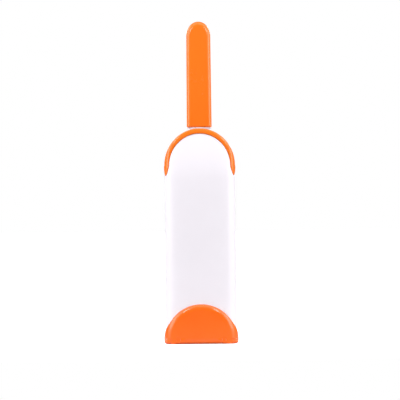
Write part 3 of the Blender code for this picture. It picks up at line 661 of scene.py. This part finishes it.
def shell_ribs(side):
    """Guides for the paddle's edges, ledges and stand-offs for the wiper, as one tool."""
    bm = bmesh.new()

    def add(x_range, y_range, z_range):
        ys = sorted((side * y_range[0], side * y_range[1]))
        add_box(bm, (x_range[0], ys[0], z_range[0]), (x_range[1], ys[1], z_range[1]))

    wall_y = SLEEVE_HALF_DEPTH - SLEEVE_WALL / 2
    for hand in (-1, 1):
        add(sorted(hand * x for x in GUIDE_X), GUIDE_Y, GUIDE_Z)
        middle = hand * WIPER_HIGH.x * STANDOFF_SHARE
        add((middle - LEDGE / 2, middle + LEDGE / 2), (WIPER_HIGH.y + GAP, wall_y - GAP),
            (WIPER_LOW.z + GAP, WIPER_HIGH.z - 6 * GAP))
    ledge_x = (WIPER_LOW.x + GAP, WIPER_HIGH.x - GAP)
    add(ledge_x, (LEDGE_Y, wall_y), (WIPER_LOW.z - GAP - LEDGE, WIPER_LOW.z - GAP))
    add(ledge_x, (LEDGE_Y, wall_y - 2 * GAP), (WIPER_HIGH.z + GAP, WIPER_HIGH.z + GAP + LEDGE))
    return bm


def build_shell(name, node, side):
    """Half of the white sleeve; side is -1 for the front and 1 for the rear."""
    quarter = mouth_quarter(seam=SEAM_DEPTH)
    half = mirrored(quarter[::-1], lambda theta: -theta) + quarter[1:]
    columns = [shell_column(edges) for edges in half]
    if side > 0:
        columns = [[Vector((-p.x, -p.y, p.z)) for p in column] for column in columns]
    shell = add_object(name, loft(columns))
    combine(shell, "UNION", shell_ribs(side))
    if side < 0:
        outlet = arc((0.0, MOON_Z), OUTLET_R, 0, 180, OUTLET_STEPS)
        outlet += [(-OUTLET_R, -MOON_Z), (OUTLET_R, -MOON_Z)]
        combine(shell, "DIFFERENCE", prism(outlet, "Y", -2 * SLEEVE_HALF_DEPTH, OUTLET_BACK_Y))
    else:
        add_seam_lips(shell)
        add_screw_bosses(shell)
    return finish_piece(shell, WHITE, "base", node)


def add_seam_lips(shell):
    """Strips inside the sides of the rear shell, which overlap the front shell's wall."""
    inner_x = SLEEVE_HALF_WIDTH - SLEEVE_WALL
    low_z, high_z = SEAM_LIP_Z
    roots, lips = bmesh.new(), bmesh.new()
    for hand in (-1, 1):
        xs = sorted((hand * (inner_x - GAP - SEAM_LIP_THICK), hand * (inner_x - GAP)))
        add_box(lips, (xs[0], SEAM_LIP_Y[0], low_z), (xs[1], SEAM_LIP_Y[1], high_z))
        root = sorted(hand * (inner_x + side * SLEEVE_WALL / 3) for side in (-1, 1))
        add_box(roots, (root[0], SEAM_ROOT_Y[0], low_z + LEDGE), (root[1], SEAM_ROOT_Y[1], high_z - LEDGE))
    combine(shell, "UNION", roots, lips)


def add_screw_bosses(shell):
    for hand in (-1, 1):
        x = hand * BASE_SCREW_X
        boss = cylinder("Z", (x, BASE_SCREW_Y), SHELL_BOSS_R, SLEEVE_BOTTOM_Z, SHELL_BOSS_TOP_Z)
        rib = box((x - BOSS_RIB / 2, BASE_SCREW_Y, SPIGOT_TOP_Z + 2 * GAP),
                  (x + BOSS_RIB / 2, SLEEVE_HALF_DEPTH - SLEEVE_WALL / 2, SHELL_BOSS_TOP_Z - BOSS_RIB))
        combine(shell, "UNION", boss, rib)
        combine(shell, "DIFFERENCE", cylinder("Z", (x, BASE_SCREW_Y), SCREW_SHANK_R + GAP, 0.0,
                                              BASE_SCREW_TOP_Z + 2 * GAP))


def build_mouth_ring():
    """Orange bead round the mouth, with a rolled rim and a groove for the shells' tongues."""
    quarter = mouth_quarter()
    slices = quarter[1:]
    slices += mirrored(quarter[:-1][::-1], lambda theta: math.pi - theta)
    slices += mirrored(quarter[1:], lambda theta: theta + math.pi)
    slices += mirrored(quarter[:-1][::-1], lambda theta: -theta)
    section = [(0.0, BEAD_ROOT)]
    for i in range(BEAD_STEPS + 1):
        turn = math.pi * i / BEAD_STEPS
        section.append((0.5 - 0.5 * math.cos(turn), -RING_PROUD * math.sin(turn) ** BEAD_FULLNESS))
    section += [*ROLLED_RIM, (GROOVE_SHARES[0], SLEEVE_WALL)]
    section += [(share, GROOVE_INSET) for share in GROOVE_SHARES]
    rings = [[on_band(edges, share, inset) for share, inset in section] for edges in slices]
    ring = add_object("mouth_bead", loft(rings, closed=True), smooth_angle=50)
    return finish_piece(ring, ORANGE, "base", "mouth_ring")


def flare(z):
    """Share by which the half-moons widen towards the floor."""
    share = min(max((FLARE_Z[1] - z) / (FLARE_Z[1] - FLARE_Z[0]), 0.0), 1.0)
    return 1 + MOON_FLARE / MOON_R * share * share * (3 - 2 * share)


def half_moon(name, side):
    """Raised half-moon of the foot, wrapped round the sleeve; side is -1 for the front."""
    flat_r = MOON_R - MOON_EDGE
    stations = [flat_r * share for share in MOON_FLAT_SHARES]
    stations += [flat_r + MOON_EDGE * i / MOON_EDGE_STEPS for i in range(1, MOON_EDGE_STEPS + 1)]

    def skin(radius, turn):
        drop = MOON_ROUND_R - math.sqrt(MOON_ROUND_R ** 2 - max(radius - flat_r, 0.0) ** 2)
        z = MOON_Z + radius * math.sin(turn)
        x = radius * math.cos(turn) * flare(z)
        bulge = (1 - (abs(x) / FOOT_HALF_WIDTH) ** FOOT_POWER) ** (1 / FOOT_POWER)
        return Vector((x, side * (FOOT_HALF_DEPTH - drop) * bulge, z))

    bm = bmesh.new()
    angles = [math.pi * i / MOON_TURNS for i in range(MOON_TURNS + 1)]
    centre = bm.verts.new(skin(0.0, 0.0))
    rows = [[bm.verts.new(skin(radius, turn)) for turn in angles] for radius in stations]
    rows.append([bm.verts.new(Vector((vert.co.x, side * MOON_ROOT_Y, vert.co.z))) for vert in rows[-1]])
    for i in range(MOON_TURNS):
        bm.faces.new((centre, rows[0][i], rows[0][i + 1]))
        for near, far in zip(rows, rows[1:]):
            bm.faces.new((near[i], far[i], far[i + 1], near[i + 1]))
    bm.faces.new(rows[-1])
    bm.faces.new([row[0] for row in reversed(rows)] + [centre] + [row[-1] for row in rows])
    return add_object(name, bm)


def below(z):
    """Cutting box that takes all that lies lower."""
    return box((-BEYOND, -BEYOND, -MM), (BEYOND, BEYOND, z))


def hinge_cylinder(radius, low, high):
    return cylinder("X", (HINGE_Y, HINGE_Z), radius, low, high)


def pin_hole():
    reach = PIN_HALF_LENGTH + GAP
    return hinge_cylinder(PIN_HOLE_R, -reach, reach)


def build_door():
    door = half_moon("emptying_door", -1)
    combine(door, "DIFFERENCE", sleeve_solid(GAP, -MM, BEYOND), below(FOOT_TOP_Z + SLIT))
    start, end = LIP_SPAN
    lip_outline = arc((0.0, MOON_Z), LIP_R[1], start, end, LIP_STEPS)
    lip_outline += arc((0.0, MOON_Z), LIP_R[0], end, start, LIP_STEPS)
    lip = add_object("lip", prism(lip_outline, "Y", -FOOT_HALF_DEPTH, LIP_BACK_Y))
    combine(lip, "INTERSECT", foot_solid(LIP_INSET, -MM, BEYOND))
    barrel = add_object("barrel", hinge_cylinder(BARREL_R, -BARREL_HALF_LENGTH, BARREL_HALF_LENGTH))
    combine(barrel, "INTERSECT", foot_solid(CAP_INSET, -MM, SPIGOT_TOP_Z))
    combine(door, "UNION", lip, barrel)
    for hand in (-1, 1):
        xs = sorted(hand * (x + end) for x, end in zip(KNUCKLE_X, (-SLIT, SLIT)))
        combine(door, "DIFFERENCE", hinge_cylinder(SLOT_R, xs[0], xs[1]))
    combine(door, "DIFFERENCE", pin_hole())
    return finish_piece(door, FOOT_ORANGE, "door", "fur_door")


def add_knuckle(cap, hand):
    """Knuckle whose hole is open below, so that it snaps over the pin."""
    xs = sorted(hand * x for x in KNUCKLE_X)
    outline = circle((HINGE_Y, HINGE_Z), BARREL_R) + KNUCKLE_FOOT
    knuckle = add_object("knuckle", hull([Vector((x, y, z)) for x in xs for y, z in outline]))
    combine(knuckle, "INTERSECT", foot_solid(CAP_INSET, -MM, SPIGOT_TOP_Z))
    combine(cap, "UNION", knuckle)
    combine(cap, "DIFFERENCE", box((xs[0] - MM, HINGE_Y - SNAP_WIDTH / 2, -MM),
                                   (xs[1] + MM, HINGE_Y + SNAP_WIDTH / 2, HINGE_Z)))


def add_screw_seat(cap, x):
    """Pocket in the spigot for a boss of the rear shell, and the seat of its screw under it."""
    width, near_y, far_y = BOSS_POCKET
    combine(cap, "DIFFERENCE", box((x - width / 2, near_y, FOOT_TOP_Z - GAP),
                                   (x + width / 2, far_y, BEYOND)))
    combine(cap, "UNION", cylinder("Z", (x, CAP_BOSS_Y), CAP_BOSS_R, HEAD_SEAT_Z - GAP,
                                   FOOT_TOP_Z - GAP / 2))
    combine(cap, "DIFFERENCE", cylinder("Z", (x, BASE_SCREW_Y), SCREW_HEAD_R + GAP, -MM, HEAD_SEAT_Z),
            cylinder("Z", (x, BASE_SCREW_Y), SCREW_SHANK_R + GAP, MM, FOOT_TOP_Z + MM))


def build_cap():
    def foot(inset, z):
        return superellipse(FOOT_HALF_WIDTH - CAP_INSET - inset, FOOT_HALF_DEPTH - CAP_INSET - inset,
                            FOOT_POWER, z)

    def inside(inset, z):
        return superellipse(SLEEVE_HALF_WIDTH - inset, SLEEVE_HALF_DEPTH - inset, SLEEVE_POWER, z)

    spigot = SLEEVE_WALL + GAP
    turns = [math.pi / 2 * i / FOOT_EDGE_STEPS for i in range(FOOT_EDGE_STEPS + 1)]
    rings = [foot(FOOT_EDGE_R * (1 - math.sin(t)), FOOT_EDGE_R * (1 - math.cos(t))) for t in turns]
    rings += [foot(0.0, FOOT_TOP_Z - CAP_CHAMFER), foot(CAP_CHAMFER, FOOT_TOP_Z),
              inside(spigot, FOOT_TOP_Z), inside(spigot, SPIGOT_TOP_Z),
              inside(spigot + SPIGOT_WALL, SPIGOT_TOP_Z), inside(spigot + SPIGOT_WALL, FLOOR_THICK)]
    cap = add_object("foot_cap", loft(rings))
    combine(cap, "DIFFERENCE", box((-NOTCH_HALF_WIDTH, -BEYOND, -BEYOND),
                                   (NOTCH_HALF_WIDTH, NOTCH_BACK_Y, BEYOND)))
    rear_moon = half_moon("rear_half_moon", 1)
    combine(rear_moon, "DIFFERENCE", sleeve_solid(GAP, -MM, BEYOND), below(FOOT_TOP_Z - MM))
    combine(cap, "UNION", rear_moon)
    for hand in (-1, 1):
        add_knuckle(cap, hand)
        add_screw_seat(cap, hand * BASE_SCREW_X)
    combine(cap, "DIFFERENCE", pin_hole())
    return finish_piece(cap, FOOT_ORANGE, "base", "base_cap")


# ---------------------------------------------------------------- brush pieces

def build_paddle():
    rings = []
    for i in range(PADDLE_EDGE_STEPS + 1):
        turn = math.pi / 2 * i / PADDLE_EDGE_STEPS
        inset = PADDLE_EDGE * (1 - math.sin(turn))
        y = PADDLE_HALF_DEPTH - PADDLE_EDGE * (1 - math.cos(turn))
        outline = arched_panel(PADDLE_HALF_WIDTH - inset, PADDLE_BOTTOM_Z + inset, PADDLE_ARCH_Z,
                               PADDLE_CORNER, PADDLE_END_STEPS)
        rings.append([Vector((x, -y, z)) for x, z in outline])
    rings += [[Vector((p.x, -p.y, p.z)) for p in ring] for ring in reversed(rings)]
    paddle = add_object("paddle_core", loft(rings))

    def stem_ring(half_x, half_y, z):
        return superellipse(half_x, half_y, STEM_POWER, z, STEM_POINTS)

    flange_top = HANDLE_LOW.z - SLIT
    stem = []
    for i in range(NECK_STEPS + 1):
        share = i / NECK_STEPS
        ease = share * share * (3 - 2 * share)
        half_x, half_y = (low + (high - low) * ease for low, high in zip(NECK_LOW, NECK_HIGH[:2]))
        stem.append(stem_ring(half_x, half_y, NECK_LOW[2] + (NECK_HIGH[2] - NECK_LOW[2]) * share))
    stem += [stem_ring(FLANGE_HALF[0] - inset, FLANGE_HALF[1] - inset, flange_top - down)
             for inset, down in ((FLANGE_EDGE, FLANGE_THICK), (0.0, FLANGE_THICK - FLANGE_EDGE),
                                 (0.0, FLANGE_EDGE), (FLANGE_EDGE, 0.0))]
    stem += [stem_ring(*TANG_HALF, flange_top),
             stem_ring(TANG_HALF[0] * TANG_TAPER, TANG_HALF[1], TANG_TOP_Z)]
    combine(paddle, "UNION", loft(stem))
    recess = arched_panel(PAD_HALF_WIDTH, PAD_BOTTOM_Z, PAD_ARCH_Z, RECESS_CORNER)
    for side in (-1, 1):
        low, high = sorted((side * RECESS_Y, side * RECESS_REACH))
        combine(paddle, "DIFFERENCE", prism(recess, "Y", low, high))
    for z in HANDLE_SCREW_Z:
        combine(paddle, "DIFFERENCE", cylinder("Y", (0.0, z), SCREW_SHANK_R + GAP,
                                               -PADDLE_HOLE_REACH, PADDLE_HOLE_REACH))
    return finish_piece(paddle, WHITE, "brush", "paddle_frame")


def pad_solid(name, outline_at, reach, near_y, far_y, edge, step, relief):
    """Soft slab: rounded rim, and a face of close loops that the relief function lifts.

    outline_at(inset) gives the outline; near_y is the back and far_y the face; reach is the
    inset at which the outline closes up.
    """
    side = 1 if far_y > near_y else -1
    count = int(sum((Vector(b) - Vector(a)).length for a, b in zip(outline_at(0.0), outline_at(0.0)[1:]))
                / step)
    levels = [(0.0, near_y), (0.0, far_y - side * edge)]
    for i in range(1, SOFT_EDGE_STEPS + 1):
        turn = math.pi / 2 * i / SOFT_EDGE_STEPS
        levels.append((edge * (1 - math.cos(turn)), far_y - side * edge * (1 - math.sin(turn))))
    inset = edge + step
    while inset < reach:
        levels.append((inset, far_y))
        inset += step
    rings = []
    for inset, y in levels:
        ring = []
        for x, z in resampled(outline_at(inset), count):
            lift = relief(x, z) if abs(y - near_y) > abs(far_y - near_y) * 0.5 else 0.0
            ring.append(Vector((x, y + side * lift, z)))
        rings.append(ring)
    return add_object(name, loft(rings), smooth_angle=80)


def pile_relief(x, z):
    """Height of the pile: leaning tufts in close rows, with softer waves between them."""
    tufts = noise.noise(Vector((x, 0.0, z * 0.5)) / (0.9 * MM))
    waves = noise.noise(Vector((x, 5.0, z)) / (9 * MM))
    return (0.10 * tufts + 0.07 * waves - 0.12) * MM


def foam_relief(x, z):
    return -0.05 * MM * (1 + noise.noise(Vector((x, 2.0, z)) / (1.5 * MM)))


def build_soft(node, material, body, outline_at, reach, relief, edge, step):
    """Fine version of a soft CAD slab, with its back where the slab's back is."""
    low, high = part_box(node)
    outward = -1 if high.y < 0 else 1
    near_y, far_y = (low.y, high.y) if outward > 0 else (high.y, low.y)
    if "wiper" in node:
        near_y, far_y = far_y, near_y
    piece = pad_solid(node + "_pile" if material is VELOUR else node + "_pad", outline_at, reach,
                      near_y, far_y, edge, step, relief)
    return finish_piece(piece, material, body, node)


def build_soft_goods():
    """Lint fabrics, wiper fabrics and the foam behind them."""
    def paddle_outline(trim):
        return lambda inset: arched_panel(PAD_HALF_WIDTH - trim - inset, PAD_BOTTOM_Z + trim + inset,
                                          PAD_ARCH_Z, max(LINT_CORNER - inset, LEAST_CORNER))

    def wiper_outline(inset):
        return rounded_panel(WIPER_HIGH.x - WIPER_TRIM - inset, WIPER_LOW.z + WIPER_TRIM + inset,
                             WIPER_HIGH.z - WIPER_TRIM - inset, max(WIPER_CORNER - inset, LEAST_CORNER))

    lint_half, wiper_half = PAD_HALF_WIDTH - LINT_TRIM, WIPER_HIGH.x - WIPER_TRIM
    for face in ("front", "rear"):
        lint = build_soft(f"{face}_lint_fabric", VELOUR, "brush", paddle_outline(LINT_TRIM),
                          lint_half - LOOP_STOP, pile_relief, PILE_EDGE, LINT_STEP)
        foam = build_soft(f"{face}_pad_foam", FOAM, "brush", paddle_outline(PAD_FOAM_TRIM),
                          PAD_HALF_WIDTH - PAD_FOAM_TRIM - LOOP_STOP, foam_relief, FOAM_EDGE, FOAM_STEP)
        wiper = build_soft(f"{face}_wiper_fabric", VELOUR, "base", wiper_outline,
                           wiper_half - LOOP_STOP, pile_relief, PILE_EDGE, WIPER_STEP)
        backing = build_soft(f"{face}_wiper_foam", FOAM, "base", wiper_outline,
                             wiper_half - LOOP_STOP, foam_relief, FOAM_EDGE, FOAM_STEP)


def handle_half_depth(z):
    share = (z - HANDLE_LOW.z) / (HANDLE_HIGH.z - HANDLE_LOW.z)
    return HANDLE_HALF_DEPTH[0] + (HANDLE_HALF_DEPTH[1] - HANDLE_HALF_DEPTH[0]) * share


def handle_outline(inset, foot_inset):
    """Tapered outline in X and Z with a half-round top and small round corners below."""
    end_z = HANDLE_HIGH.z - HANDLE_END_HEIGHT
    low_half, top_half = (half - inset for half in HANDLE_HALF_WIDTH)
    points = []
    for i in range(HANDLE_END_STEPS + 1):
        turn = math.pi * i / HANDLE_END_STEPS
        points.append((top_half * math.cos(turn), end_z + (HANDLE_END_HEIGHT - inset) * math.sin(turn)))
    foot_z = HANDLE_LOW.z + foot_inset
    points += arc((HANDLE_FOOT_R - low_half, foot_z + HANDLE_FOOT_R), HANDLE_FOOT_R, 180, 270, 6)
    points += arc((low_half - HANDLE_FOOT_R, foot_z + HANDLE_FOOT_R), HANDLE_FOOT_R, 270, 360, 6)
    return points


def handle_loop(side, wall, turn):
    """One loop of a handle shell's skin: turn 0 is where the flank ends, 90 degrees the flat face."""
    edge_r = HANDLE_EDGE_R - wall
    inset = wall + edge_r * (1 - math.cos(turn))
    foot_inset = wall + HANDLE_FOOT_EDGE * (1 - math.cos(turn))
    depth_in = wall + edge_r * (1 - math.sin(turn))
    return [Vector((x, side * (handle_half_depth(z) - depth_in), z))
            for x, z in handle_outline(inset, foot_inset)]


def build_handle_shell(name, node, side):
    quarter = math.pi / 2
    rings = [handle_loop(side, 0.0, quarter * i / HANDLE_EDGE_STEPS)
             for i in range(HANDLE_EDGE_STEPS, -1, -1)]
    for inset, y in HANDLE_SEAM_EDGE:
        rings.append([Vector((x, side * y, z)) for x, z in handle_outline(inset, inset)])
    rings += [handle_loop(side, HANDLE_WALL, quarter * share) for share in (0.0, 0.33, 0.66, 1.0)]
    shell = add_object(name, loft(rings), smooth_angle=50)
    tang = superellipse(TANG_HALF[0] + GAP, TANG_HALF[1] + GAP, STEM_POWER, 0.0, STEM_POINTS)
    combine(shell, "DIFFERENCE", prism([(p.x, p.y) for p in tang], "Z", HANDLE_LOW.z - MM,
                                       HANDLE_LOW.z + HANDLE_WALL + MM))
    for z in HANDLE_SCREW_Z:
        face = handle_half_depth(z)
        low, high = sorted((side * (TANG_HALF[1] + GAP), side * (face - HANDLE_BOSS_INSET)))
        combine(shell, "UNION", cylinder("Y", (0.0, z), HANDLE_BOSS_R, low, high))
        reach = face - COUNTERBORE if side < 0 else face + MM
        low, high = sorted((side * HANDLE_HOLE_START, side * reach))
        combine(shell, "DIFFERENCE", cylinder("Y", (0.0, z), SCREW_SHANK_R + GAP, low, high))
        if side > 0:
            combine(shell, "DIFFERENCE", cylinder("Y", (0.0, z), SCREW_HEAD_R + GAP,
                                                  face - COUNTERBORE, face + MM))
    return finish_piece(shell, ORANGE, "brush", node)


def dress_cad_nodes():
    """Materials of the CAD nodes that stay as they are."""
    materials = {"screw": STEEL, "pin": STEEL, "carrier": WHITE, "plate": WHITE}
    for name, node in frame["nodes"].items():
        for word, material in materials.items():
            if word in name:
                node.data.materials.clear()
                node.data.materials.append(material)


# ---------------------------------------------------------------- studio

# Brightness of the room from behind the camera (0) to behind the piece (1)
ROOM = ((0.13, 0.12), (0.29, 1.8), (0.5, 1.8), (0.7, 0.1))
ROOM_SCALE = 2.5
FLOOR_GLOW = 0.85
FLOOR_REACH = 8.0
FLOOR_FRONT = 0.45
FLOOR_LIGHT_POOL = ((0.07, (0.62, 0.62, 0.63)), (0.2, (0.36, 0.36, 0.37)))  # paler near the piece, by distance from it: a painted pool of light
SOFTBOXES = (("front", (0.29, -0.41, 0.48), 0.13, 14.5),  # right-hand place, size and brightness
             ("side", (0.9, -0.25, 0.4), 0.6, 2.4),
             ("back", (0.6, 0.75, 0.6), 0.4, 7.0))
LIGHT_AIM = (0.0, 0.0, 0.16)
CAMERA_DISTANCE = 4.4
CAMERA_AIM_Z = 0.1427
CAMERA_ROLL = 0.62         # degrees
FRAME_WIDTH = 0.398        # seen at the piece
SENSOR_WIDTH = 36.0


def build_stage():
    """Pale table top that ends in front of the piece and runs back to the horizon, painted paler round the
    piece as a pool of light.
    """
    bm = bmesh.new()
    bmesh.ops.create_grid(bm, x_segments=8, y_segments=8, size=FLOOR_REACH,
                          matrix=Matrix.Translation((0.0, FLOOR_REACH - FLOOR_FRONT, 0.0)))
    floor = add_object("studio_floor", bm)
    nodes = Nodes("pale_floor")
    # Base colour by distance from the piece, paler close to it and with an uneven edge: a painted pool of
    # light round the piece.
    length = nodes.add("ShaderNodeVectorMath", operation="LENGTH")
    nodes.link(nodes.place, length.inputs[0])
    uneven_pool_reach = nodes.add("ShaderNodeMath", operation="MULTIPLY_ADD")
    nodes.link(nodes.noise(3.0), uneven_pool_reach.inputs[0])
    uneven_pool_reach.inputs[1].default_value = 0.04
    nodes.link(length.outputs["Value"], uneven_pool_reach.inputs[2])
    nodes.link(nodes.ramp(uneven_pool_reach.outputs[0], FLOOR_LIGHT_POOL), nodes.shader.inputs["Base Color"])
    nodes.shader.inputs["Roughness"].default_value = 0.9
    nodes.shader.inputs["Specular IOR Level"].default_value = 0.0
    nodes.shader.inputs["Emission Color"].default_value = (1.0, 1.0, 1.0, 1.0)
    glow = nodes.add("ShaderNodeMath", operation="MULTIPLY")
    nodes.link(nodes.add("ShaderNodeLightPath").outputs["Is Camera Ray"], glow.inputs[0])
    glow.inputs[1].default_value = FLOOR_GLOW
    nodes.link(glow.outputs[0], nodes.shader.inputs["Emission Strength"])
    floor.data.materials.append(nodes.material)


def build_world():
    """Ring of light round the piece, with dark ends; the camera sees plain white."""
    world = bpy.data.worlds.new("studio")
    bpy.context.scene.world = world
    world.use_nodes = True
    tree = world.node_tree
    background = tree.nodes["Background"]
    background.inputs["Color"].default_value = (1.0, 1.0, 1.0, 1.0)
    place = tree.nodes.new("ShaderNodeTexCoord")
    axis = tree.nodes.new("ShaderNodeSeparateXYZ")
    tree.links.new(place.outputs["Generated"], axis.inputs["Vector"])
    share = tree.nodes.new("ShaderNodeMapRange")
    share.inputs["From Min"].default_value = -1.0
    tree.links.new(axis.outputs["Y"], share.inputs["Value"])
    room = tree.nodes.new("ShaderNodeValToRGB")
    room.color_ramp.interpolation = "EASE"
    elements = room.color_ramp.elements
    while len(elements) < len(ROOM):
        elements.new(0.5)
    for element, (position, level) in zip(elements, ROOM):
        element.position = position
        element.color = (level / ROOM_SCALE,) * 3 + (1.0,)
    tree.links.new(share.outputs["Result"], room.inputs["Fac"])
    scaled = tree.nodes.new("ShaderNodeMath")
    scaled.operation = "MULTIPLY"
    tree.links.new(room.outputs["Color"], scaled.inputs[0])
    scaled.inputs[1].default_value = ROOM_SCALE
    seen = tree.nodes.new("ShaderNodeLightPath")
    level = tree.nodes.new("ShaderNodeMix")
    tree.links.new(seen.outputs["Is Camera Ray"], level.inputs["Factor"])
    tree.links.new(scaled.outputs[0], level.inputs[2])
    level.inputs[3].default_value = 1.0
    tree.links.new(level.outputs[0], background.inputs["Strength"])


def add_softbox(name, place, size, brightness):
    """Square softbox aimed at the middle of the piece."""
    middle, place = Vector(LIGHT_AIM), Vector(place)
    light = bpy.data.lights.new(name, "AREA")
    light.size = size
    light.energy = brightness * math.pi * size ** 2
    lamp = bpy.data.objects.new(name, light)
    bpy.context.scene.collection.objects.link(lamp)
    lamp.location = place
    lamp.rotation_euler = (middle - place).to_track_quat("-Z", "Y").to_euler()


def build_lights():
    for name, hand in (("left", -1), ("right", 1)):
        for where, (x, y, z), size, brightness in SOFTBOXES:
            add_softbox(f"{name}_{where}_softbox", (x * hand, y, z), size, brightness)


def build_camera():
    """Long lens, straight on, rolled a little clockwise as the piece leans left."""
    data = bpy.data.cameras.new("camera")
    camera = bpy.data.objects.new("camera", data)
    bpy.context.scene.collection.objects.link(camera)
    data.sensor_width = SENSOR_WIDTH
    data.lens = SENSOR_WIDTH * CAMERA_DISTANCE / FRAME_WIDTH
    camera.location = (0.0, -CAMERA_DISTANCE, CAMERA_AIM_Z)
    camera.rotation_euler = (math.pi / 2, math.radians(CAMERA_ROLL), 0.0)
    bpy.context.scene.camera = camera
    bpy.context.scene.view_settings.view_transform = "Standard"


build_camera()
build_world()
build_lights()
build_stage()
build_shell("front_cover", "front_shell", -1)
build_shell("rear_cover", "rear_shell", 1)
build_mouth_ring()
build_door()
build_cap()
build_paddle()
build_soft_goods()
build_handle_shell("handle_front_cover", "handle_front_shell", -1)
build_handle_shell("handle_rear_cover", "handle_rear_shell", 1)
dress_cad_nodes()
